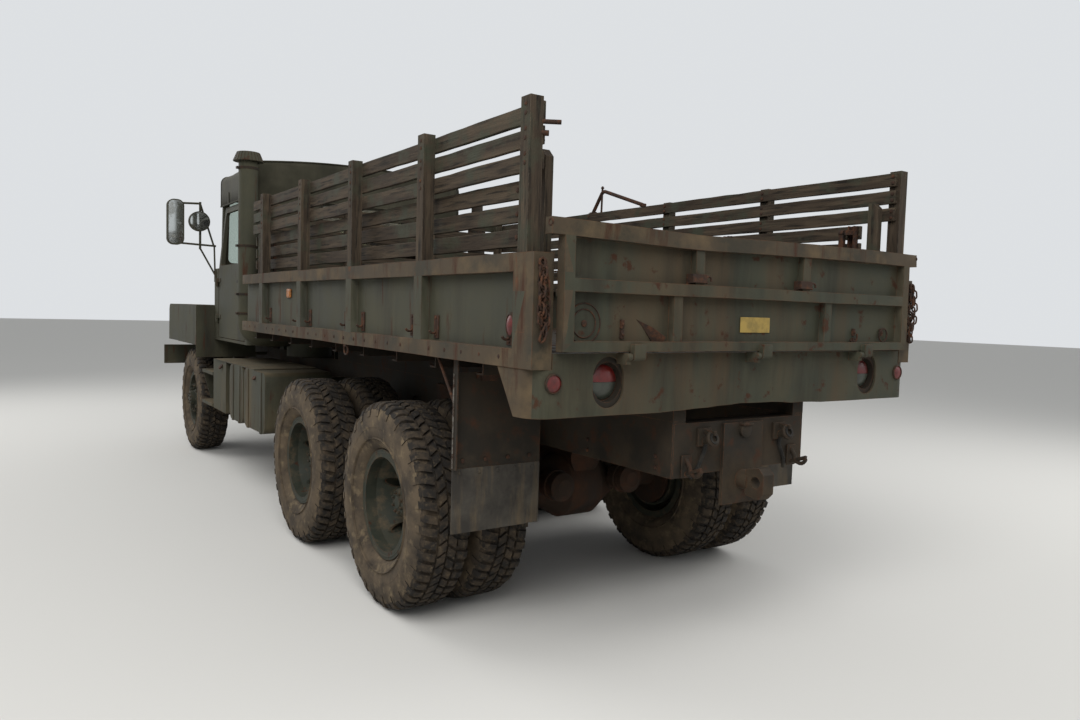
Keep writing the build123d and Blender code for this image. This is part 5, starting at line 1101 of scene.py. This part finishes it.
def roof_points(outline, x0, x1, columns):
    points = []
    for column in range(columns + 1):
        x = x0 + (x1 - x0) * column / columns
        droop = sag(x)
        for y, z in outline:
            crease = 0.004 * noise.noise((x * 5, y * 4, z * 4))
            roof = 1.0 if z > shoulder_z - 0.001 else 0.0
            pull = droop * (0.010 + 0.004 * math.cos(y * 3)) * roof
            inward = droop * 0.010 * (1 - roof) * (1 if y > 0 else -1)
            points.append((x, y * 0.998 - inward + crease * 0.5, min(z - pull + crease, canvas_high.z - 0.002)))
    return points


def curtain_points(x, cells, rows):
    points = []
    for row in range(rows + 1):
        for cell in range(cells + 1):
            y = canvas_half_w * 0.998 * (1 - 2 * cell / cells)
            side = abs(y) / canvas_half_w
            roof_z = shoulder_z + crown * 0.93 * (1 - side**2)
            over = abs(y) - flat_half_w
            if over > 0:
                roof_z = corner_z + math.sqrt(max(0.0, corner_r**2 - over**2))
            z = curtain_low_z + (roof_z - 0.004 - curtain_low_z) * row / rows
            fold = 0.010 * (1 - row / rows) * math.sin(y * 26) * 0.4 + 0.004 * noise.noise((y * 5, z * 5, 2))
            points.append((x + fold, y, z))
    return points


def valance_points(section, x1, rows):
    points = []
    for row in range(rows + 1):
        share = row / rows
        x = x1 + (screen_low.x + 0.045 - x1) * share + 0.006 * math.sin(share * math.pi)
        for y, z in section:
            low_z = min(screen_high.z - 0.010, z)
            points.append((x, y * (0.998 - 0.004 * share), z - 0.002 + (low_z - z) * share))
    return points


def thicken(made, name, thickness):
    modifier = made.modifiers.new(name, "SOLIDIFY")
    modifier.thickness = thickness
    modifier.offset = -1


def canvas_top():
    draft = Draft()
    section = bow_section(22)
    outline = [(canvas_half_w, door_top_z), (canvas_half_w, hem_z)] + section
    outline += [(-canvas_half_w, hem_z), (-canvas_half_w, door_top_z)]
    x0 = canvas_low.x + 0.004
    x1 = canvas_high.x - 0.004
    y0, y1, z0, z1 = curtain_window
    draft.add(roof_points(outline, x0, x1, 30), grid_faces(len(outline), 31))
    curtain = curtain_points(x0 + 0.010, 30, 26)
    faces = []
    for face in grid_faces(31, 27):
        middle = (Vector(curtain[face[0]]) + Vector(curtain[face[2]])) / 2
        if not (y0 < middle.y < y1 and z0 < middle.z < z1):
            faces.append(face[::-1])
    draft.add(curtain, faces)
    draft.add(valance_points(section, x1, 8), grid_faces(len(section), 9))
    made = draft.piece("canvas_sheet", "chassis", waxed_canvas)
    thicken(made, "cloth_thickness", 0.003)
    bpy.context.view_layer.objects.active = made
    bpy.ops.object.modifier_apply(modifier="cloth_thickness")
    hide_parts("canvas_top")
    seams = Draft()
    for x in (x0 + 0.002, x1 - 0.012):
        seams.tube([(x, y * 0.999, z + 0.0015) for y, z in outline], 0.006, 8)
    for side in (1, -1):
        xs = [x0 + (x1 - x0) * step / 20 for step in range(21)]
        seams.tube([(x, side * (canvas_half_w + 0.001), door_top_z + 0.006) for x in xs], 0.006, 8)
        for x in (x0 + 0.35, x1 - 0.30):
            seams.block((x, side * 0.990 - 0.004, 2.49), (x + 0.030, side * 0.990 + 0.004, hem_z))
    low_z, high_z = z0 - 0.012, z1 + 0.012
    edge = ((y0 - 0.012, low_z), (y1 + 0.012, low_z), (y1 + 0.012, high_z), (y0 - 0.012, high_z))
    seams.tube([(x0 + 0.005, y, z) for y, z in edge], 0.007, 8, closed=True)
    seams.piece("canvas_piping", "chassis", waxed_canvas)
    pane = Draft()
    cells = 12
    points = []
    for row in range(cells + 1):
        for cell in range(cells + 1):
            y = y0 - 0.015 + (y1 - y0 + 0.03) * cell / cells
            z = z0 - 0.015 + (z1 - z0 + 0.03) * row / cells
            points.append((x0 + 0.016 + 0.005 * noise.noise((y * 6, z * 6, 5)), y, z))
    pane.add(points, [face[::-1] for face in grid_faces(cells + 1, cells + 1)])
    thicken(pane.piece("curtain_window", "chassis", clear_vinyl), "vinyl_thickness", 0.0012)


canvas_top()


# Cab seats: padded cushions and backs, inflated by a short cloth simulation and then sewn
seat_x0 = 1.031
seat_floor_z = 1.215
seat_base_h = 0.270
cushion_h = 0.110
cushion_depth = 0.480
seat_back_t = 0.110
seat_back_h = 0.560
# Each seat: its name, its two sides and where its sewn channels run
seats = (("driver", 0.200, 0.720, (0.33, 0.67)), ("bench", -0.900, -0.060, (0.25, 0.5, 0.75)))
swell_cap = 0.016
swell_frames = 20
seam_half_w = 0.020
seam_depth = 0.008


def swell(made):
    """Blows a pad up like its filling, and nowhere further than its cap."""
    before = [vert.co.copy() for vert in made.data.vertices]
    cloth = made.modifiers.new("cloth", "CLOTH")
    cloth.settings.use_pressure = True
    cloth.settings.uniform_pressure_force = 4.0
    cloth.settings.effector_weights.gravity = 0.0
    cloth.point_cache.frame_end = swell_frames
    for step in range(swell_frames):
        scene.frame_set(step + 1)
    bpy.ops.object.modifier_apply(modifier=cloth.name)
    scene.frame_set(1)
    for vert, start in zip(made.data.vertices, before):
        move = vert.co - start
        if move.length > swell_cap:
            vert.co = start + move.normalized() * swell_cap


def cushion(name, low, high, seams_at):
    """A pad between two corners, with a sewn channel at each given share of its width."""
    draft = Draft()
    inset = Vector((0.010, 0.010, 0.010))
    draft.block(Vector(low) + inset, Vector(high) - inset)
    made = draft.piece(name, "chassis", coated_cloth)
    bpy.context.view_layer.objects.active = made
    bevel = made.modifiers.new("edge", "BEVEL")
    bevel.width = 0.022
    bevel.segments = 3
    remesh = made.modifiers.new("remesh", "REMESH")
    remesh.mode = "VOXEL"
    remesh.voxel_size = 0.012
    for modifier in (bevel.name, remesh.name):
        bpy.ops.object.modifier_apply(modifier=modifier)
    swell(made)
    span = high[1] - low[1]
    thin = min(range(3), key=lambda one: high[one] - low[one])
    middle = (Vector(low) + Vector(high)) / 2
    for vert in made.data.vertices:
        share = (vert.co.y - low[1]) / span
        for seam in seams_at:
            gap = abs(share - seam) * span
            if gap < seam_half_w:
                pull = (1 - gap / seam_half_w) ** 2 * seam_depth
                vert.co[thin] += math.copysign(pull, middle[thin] - vert.co[thin])
        for one in range(3):
            vert.co[one] = min(max(vert.co[one], low[one]), high[one])
    smooth = made.modifiers.new("smooth", "SUBSURF")
    smooth.levels = smooth.render_levels = 1
    for face in made.data.polygons:
        face.use_smooth = True


def cab_seats():
    base = Draft()
    top = seat_floor_z + seat_base_h
    x1 = seat_x0 + seat_back_t + cushion_depth
    for name, y0, y1, shares in seats:
        base.block((seat_x0 + 0.040, y0 + 0.030, seat_floor_z), (x1 - 0.060, y1 - 0.030, top - 0.012))
        base.block((seat_x0 + 0.020, y0 + 0.010, top - 0.014), (x1 - 0.015, y1 - 0.010, top))
        cushion(name + "_cushion", (seat_x0 + seat_back_t - 0.02, y0, top), (x1, y1, top + cushion_h), shares)
        back_high = (seat_x0 + seat_back_t, y1, top + cushion_h + seat_back_h)
        cushion(name + "_back", (seat_x0, y0, top + 0.020), back_high, shares)
    made = base.piece("seat_bases", "chassis", chassis_black, 0.004)
    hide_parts("cab_seats")


cab_seats()

# Cab, hood, fenders, boxes and tanks keep their own forms, with dents
dented = (
    ("hood", 0.002, 0.5, 0.16, 0.0025),
    ("fenders", 0.003, 0.4, 0.16, 0.002),
    ("cab_body", 0.002, 0.5, 0.20, 0.002),
    ("door_left", 0.0015, 0.4, 0.16, 0.002),
    ("door_right", 0.0015, 0.4, 0.16, 0.002),
    ("front_bumper", 0.003, 0.4, 0.2, 0.002),
    ("side_boxes", 0.003, 0.3, 0.12, 0.003),
    ("tanks", 0.003, 0.35, 0.14, 0.002),
)
for node, *values in dented:
    worn(node, [olive, chassis_black] if node == "hood" else olive, "olive_paint", *values)

head_lamp_z = 1.330
wiper_rise = 0.360


# Head lamps in their bowls, turn lamps beside them, and the wipers
def front_details():
    glass = Draft()
    rims = Draft()
    rubber = Draft()
    head_y = lamp_high.y - 0.095
    bucket = [(-0.035, 0), (-0.035, 0.088), (-0.012, 0.095), (0, 0.095), (0.002, 0.086), (-0.010, 0.078), (-0.030, 0)]
    foot_x = screen_high.x + 0.006
    rake = math.tan(math.radians(5))
    for side in (1, -1):
        place = facing((lamp_high.x, side * head_y, head_lamp_z), x_way)
        rims.lathe(bucket, place, 40)
        glass.lathe(disc_profile(0.084, 0.016), place @ Matrix.Translation((-0.014, 0, 0)), 40)
        turn = facing((lamp_high.x - 0.030, side * (head_y + 0.185), head_lamp_z), x_way)
        glass.lathe(disc_profile(0.040, 0.022), turn, 28)
        bezel(rims, turn, 0.039, 0.008, 0.012)
        foot = Vector((foot_x - 0.004, side * 0.30, screen_low.z + 0.030))
        head = Vector((foot_x + 0.004 - wiper_rise * rake, side * 0.60, screen_low.z + wiper_rise))
        along = (head - foot).normalized()
        rubber.tube([foot, head], 0.005, 8)
        blade = [head - along * 0.18 + Vector((-0.004, 0, 0)), head + along * 0.20 + Vector((-0.020, 0, 0))]
        rubber.tube(blade, 0.006, 6)
        rubber.bolt(facing(foot + Vector((-0.006, 0, 0)), x_way), 0.018, 0.020)
    glass.piece("head_lenses", "chassis", clear_lens)
    rims.piece("head_rims", "chassis", olive)
    rubber.piece("wipers", "chassis", black_rubber)


front_details()
mirror_x, mirror_z = 2.103, 2.310
mirror_half_w, mirror_half_h, mirror_corner_r = 0.018, 0.158, 0.046
round_mirror = (2.084, 1.195, 2.330)


def mirror_faces():
    glass = Draft()
    head_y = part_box("mirrors")[1].y - 0.075
    for side in (1, -1):
        outline = []
        for corner_y, corner_z, start in ((1, 1, 0), (-1, 1, 90), (-1, -1, 180), (1, -1, 270)):
            centre = (0, head_y + corner_y * mirror_half_w, mirror_z + corner_z * mirror_half_h)
            outline += arc(centre, mirror_corner_r, start, start + 90, 6, y_way, z_way)
        faces = [[(mirror_x + out, side * one.y, one.z) for one in outline] for out in (-0.001, 0.004)]
        glass.prism(*faces)
        x, y, z = round_mirror
        glass.lathe(disc_profile(0.086, 0.006), facing((x, side * y, z), (-1, 0, 0)), 32)
    glass.piece("mirror_faces", "chassis", mirror_glass)


mirror_faces()
spring_y, u_bolt_r = 0.505, 0.053
rail_bolt_y = 0.433


# Small parts under the bed: U-bolts, rail bolts, step studs and tank caps
def under_details():
    iron = Draft()
    rear_x = (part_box("tyres_rear_left")[0].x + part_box("tyres_middle_left")[1].x) / 2
    for side in (1, -1):
        for x, low, high in ((rear_x, 0.600, 0.765), (centre_x("tyre_front_left"), 0.590, 0.745)):
            for step in (-0.055, 0.055):
                bend = (x + step, side * spring_y, high - 0.02)
                path = [(x + step, side * (spring_y - u_bolt_r), z) for z in (low, high - 0.02)]
                path += arc(bend, u_bolt_r, 180, 0, 8, (0, side, 0), z_way)
                path += [(x + step, side * (spring_y + u_bolt_r), low)]
                iron.tube(path, 0.009, 8)
        for index in range(44):
            x = rail_low.x + 0.10 + index * 0.165
            for z in (rail_low.z + 0.035, rail_high.z - 0.250):
                if z < rail_high.z - 0.2 and index % 3:
                    continue
                iron.bolt(facing((x, side * rail_bolt_y, 1.070 if z > 1.0 else z), (0, side, 0)), 0.010, 0.008)
    iron.piece("chassis_bolts", "chassis", rusty_steel)
    studs = Draft()
    stud = [(0, 0), (0, 0.011), (0.003, 0.008), (0.003, 0)]
    for side in (1, -1):
        for z in (0.601, 0.901):
            for row in range(5):
                for column in range(9):
                    x = 1.745 + column * 0.048
                    y = 0.800 + row * 0.055 + (column % 2) * 0.020
                    if z > 0.7 or y <= 1.03:
                        studs.lathe(stud, facing((x, side * y, z), z_way), 6)
    studs.piece("step_studs", "chassis", dull_zinc)
    caps = Draft()
    tank_low, tank_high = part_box("tanks")
    for x in (tank_low.x + 0.30, tank_high.x - 0.22):
        neck = facing((x, 1.155, 0.985), (0, 0.8, 0.6))
        caps.lathe([(-0.01, 0), (-0.01, 0.030), (0.0, 0.034), (0.004, 0.034), (0.004, 0)], neck, 24)
    caps.piece("tank_caps", "chassis", rusty_steel, 0.002)


under_details()
stack_x, stack_y = 0.721, 1.090


# Bands and clamps of both stacks, the bars of the intake's cap and the rods of the exhaust's guard
def stack_details():
    bands = Draft()
    x = centre_x("exhaust_stack")
    for z in (1.46, 1.62, 2.02, 2.66):
        place = facing((stack_x, stack_y, z), z_way)
        bands.lathe([(0, 0.0765), (0, 0.081), (0.020, 0.081), (0.020, 0.0765)], place, 48)
        bands.block((0.700, 1.168, z + 0.001), (0.742, 1.186, z + 0.019))
        bands.bolt(facing((0.742, 1.178, z + 0.010), x_way), 0.006, 0.008)
    for index in range(24):
        turn = index * math.tau / 24
        ends = ((0.1195, 2.728), (0.0905, 2.798))
        bar = [(stack_x + reach * math.cos(turn), stack_y + reach * math.sin(turn), z) for reach, z in ends]
        bands.tube(bar, 0.0022, 6)
    for z in (1.52, 1.84, 2.16, 2.43):
        bands.lathe([(0, 0.0815), (0, 0.085), (0.018, 0.085), (0.018, 0.0815)], facing((x, -stack_y, z), z_way), 48)
    for index in range(20):
        turn = index * math.tau / 20
        rod_x, rod_y = x + 0.0825 * math.cos(turn), -stack_y + 0.0825 * math.sin(turn)
        for z in (1.55, 1.87, 2.19):
            bands.tube([(rod_x, rod_y, z), (rod_x, rod_y, z + 0.22)], 0.004, 6)
    bands.piece("stack_bands", "chassis", chassis_black)


stack_details()


# Bed floor: pressed ribs along the bed, in four lengths
def floor_ribs():
    draft = Draft()
    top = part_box("bed_floor")[1].z
    half = side_high.y - 0.115
    profile = ((-0.022, -0.002), (-0.012, 0.005), (0.012, 0.005), (0.022, -0.002))
    for index in range(14):
        y = -half + 2 * half * (index + 0.5) / 14
        for part in range(4):
            x0 = side_low.x + 0.06 + part * 1.03
            draft.prism(*[[(x, y + across, top + up) for across, up in profile] for x in (x0, x0 + 0.97)])
    draft.piece("floor_ribs", "chassis", chassis_black, 0.001)


floor_ribs()


# Rear crossmember: two air couplings with their pipes, a trailer socket and the towing eyes' shackles
def rear_fittings():
    iron = Draft()
    rubber = Draft()
    face_x = rail_low.x - 0.003
    head = [(-0.045, 0), (-0.045, 0.016), (-0.005, 0.018), (0, 0.034), (0.014, 0.036), (0.020, 0.028), (0.012, 0.014)]
    for side in (1, -1):
        y = side * 0.250
        eye_y = side * 0.350
        iron.block((face_x - 0.012, y - 0.040, 0.985), (face_x, y + 0.040, 1.065))
        cup = facing((face_x - 0.050, y, 1.020), (-1, 0, 0.35))
        iron.lathe(head + [(0.012, 0)], cup, 24)
        rubber.lathe([(0.014, 0.015), (0.014, 0.026), (0.023, 0.024), (0.023, 0.015)], cup, 24)
        iron.block((face_x - 0.075, y - 0.006, 1.040), (face_x - 0.015, y + 0.006, 1.060))
        pipe = ((-0.020, 1, 1.010), (-0.010, 1, 0.960), (-0.012, 1.15, 0.890), (0.010, 1.25, 0.842))
        rubber.tube([(face_x + out, y * spread, z) for out, spread, z in pipe], 0.009, 8)
        bow = arc((face_x - 0.060, eye_y, 0.900), 0.034, 90, 270, 10, z_way, x_way)
        iron.tube([(face_x, eye_y, 0.934)] + bow + [(face_x, eye_y, 0.866)], 0.010, 8)
        iron.block((face_x - 0.006, eye_y - 0.030, 0.850), (face_x, eye_y + 0.030, 0.950))
    socket = facing((face_x, 0.0, 1.045), (-1, 0, 0))
    iron.lathe([(0, 0), (0, 0.036), (0.030, 0.036), (0.034, 0.030), (0.034, 0)], socket, 28)
    iron.block((face_x - 0.042, -0.034, 1.068), (face_x, 0.034, 1.076))
    iron.piece("rear_fittings", "chassis", chassis_black, 0.002)
    rubber.piece("rear_pipes", "chassis", black_rubber)


rear_fittings()
bar_post_y = -1.142


# Flap brackets: a slim brace from the bed rail, and a small rusted plate under it; and the bent bar's post
def flap_brackets():
    draft = Draft()
    plate_x = flap_low.x
    for side in (1, -1):
        y = side * 1.168
        draft.tube([(plate_x + 0.175, y, 1.350), (plate_x + 0.006, y, 1.150)], 0.007, 8)
        draft.block((plate_x - 0.010, side * 0.930, 1.252), (plate_x, side * 1.060, 1.276))
        draft.block((plate_x - 0.022, side * 0.960, 1.240), (plate_x - 0.008, side * 1.040, 1.276))
        for step in range(4):
            draft.bolt(facing((plate_x, side * (0.76 + step * 0.12), 0.880), (-1, 0, 0)), 0.011, 0.006)
    draft.piece("flap_brackets", "chassis", rusty_steel, 0.001)
    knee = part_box("bent_bar")[1].z
    post = Draft()
    bends = ((-1.180, slat_high.z - 0.010), (-1.184, knee - 0.018), (-1.186, knee + 0.030))
    post.tube([(x, bar_post_y, z) for x, z in bends], 0.008, 8)
    collar = facing((-1.186, bar_post_y, knee + 0.012), z_way)
    post.lathe([(0, 0.008), (0, 0.013), (0.010, 0.013), (0.010, 0.008)], collar, 12)
    post.piece("bent_bar_post", "chassis", rusty_steel)


flap_brackets()
# Each dial: where it sits across the dash, its height and its radius
dials = ((0.30, 1.76, 0.042), (0.62, 1.76, 0.042), (0.40, 1.755, 0.028), (0.52, 1.755, 0.028), (0.46, 1.69, 0.028))
levers = (((1.72, 0.10, 1.218), (1.60, 0.09, 1.66)), ((1.72, 0.02, 1.218), (1.66, 0.01, 1.52)))


# Cab controls: dials in their rims, the wheel's hub and the levers
def cab_controls():
    dark = Draft()
    faces = Draft()
    dash_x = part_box("dashboard")[1].x - 0.292
    rim = ((0, 0), (0, 0.008), (0.010, 0.007), (0.012, 0.002), (0.006, 0))
    for y, z, radius in dials:
        place = facing((dash_x, y, z), (-1, 0, 0))
        dark.lathe([(along, radius + out) for along, out in rim], place, 28)
        faces.lathe([(0, 0), (0, radius), (0.004, radius), (0.004, 0)], place, 28)
    hub = facing((1.761, 0.460, 1.830), (-0.72, 0, 0.69))
    dark.lathe([(-0.020, 0), (-0.020, 0.040), (0.010, 0.048), (0.024, 0.034), (0.028, 0)], hub, 28)
    knob = [(-0.022, 0.008), (-0.014, 0.020), (0.004, 0.026), (0.018, 0.020), (0.024, 0), (-0.022, 0)]
    for foot, head in levers:
        middle = (Vector(foot) + Vector(head)) / 2 + Vector((0.03, 0, 0))
        dark.tube([foot, middle, head], 0.010, 10)
        dark.lathe(knob, facing(head, (-0.3, 0, 1)), 20)
    dark.piece("cab_controls", "chassis", black_rubber)
    faces.piece("dial_faces", "chassis", clear_lens)


cab_controls()

# Nodes whose own form stays take these finishes
kept = (
    (olive, "dashboard intake_stack mirrors windshield_frame"),
    (chassis_black, "bed_frame crossmembers exhaust_stack frame_rails leaf_springs radiator tow_hook"),
    (rusty_steel, "legs_left legs_right bent_bar"),
    (cast_iron, "bogie_axles driveline engine front_axle knuckle_left knuckle_right tie_rod trunnion"),
    (upright_oak, "rack_stakes"),
    (window_glass, "windshield_glass"),
    (rim_green, "rim_front_left rim_front_right rims_middle_left rims_middle_right"),
    (rim_green, "rims_rear_left rims_rear_right spare_carrier"),
)
for one, nodes in kept:
    for node in nodes.split():
        slots = frame["nodes"][node].data.materials
        slots.clear()
        slots.append(one)

floor_reach = 60
aim_point = Vector((-1.0, 0.0, 1.2))
# Each softbox: its place and its power in watts
softboxes = (((-7.0, 5.0, 7.0), 620.0), ((-5.0, -7.0, 6.0), 330.0), ((6.5, 5.0, 6.5), 380.0))


# Stage: a plain pale floor, soft lamps and an even pale world
def stage():
    mesh = bpy.data.meshes.new("floor")
    corners = [(x * floor_reach, y * floor_reach, 0) for x, y in ((-1, -1), (1, -1), (1, 1), (-1, 1))]
    mesh.from_pydata(corners, [], [(0, 1, 2, 3)])
    floor = bpy.data.objects.new("floor", mesh)
    scene.collection.objects.link(floor)
    plaster = bpy.data.materials.new("pale_plaster")
    plaster.use_nodes = True
    skin = plaster.node_tree.nodes["Principled BSDF"]
    skin.inputs["Base Color"].default_value = colour("#cfcdc8")
    skin.inputs["Roughness"].default_value = 0.9
    mesh.materials.append(plaster)
    for index, (place, power) in enumerate(softboxes):
        data = bpy.data.lights.new("softbox_" + str(index), "AREA")
        data.size = 6.0
        data.energy = power
        lamp = bpy.data.objects.new("softbox_" + str(index), data)
        lamp.location = place
        lamp.rotation_euler = (aim_point - Vector(place)).to_track_quat("-Z", "Y").to_euler()
        scene.collection.objects.link(lamp)
    world = bpy.data.worlds.new("world")
    scene.world = world
    world.use_nodes = True
    tree = world.node_tree
    sky = tree.nodes["Background"]
    path = add(tree, "LightPath")
    seen = add(tree, "Math", {0: path.outputs["Is Camera Ray"], 1: path.outputs["Is Glossy Ray"]}, operation="MAXIMUM")
    shown = add(tree, "Math", {0: seen.outputs[0], 1: path.outputs["Is Transmission Ray"]}, operation="MAXIMUM")
    level = add(tree, "MapRange", {"Value": shown.outputs[0], "To Min": 0.55, "To Max": 0.85})
    sky.inputs["Color"].default_value = colour("#eef1f4")
    tree.links.new(level.outputs[0], sky.inputs["Strength"])


stage()
scene.view_settings.view_transform = "Standard"
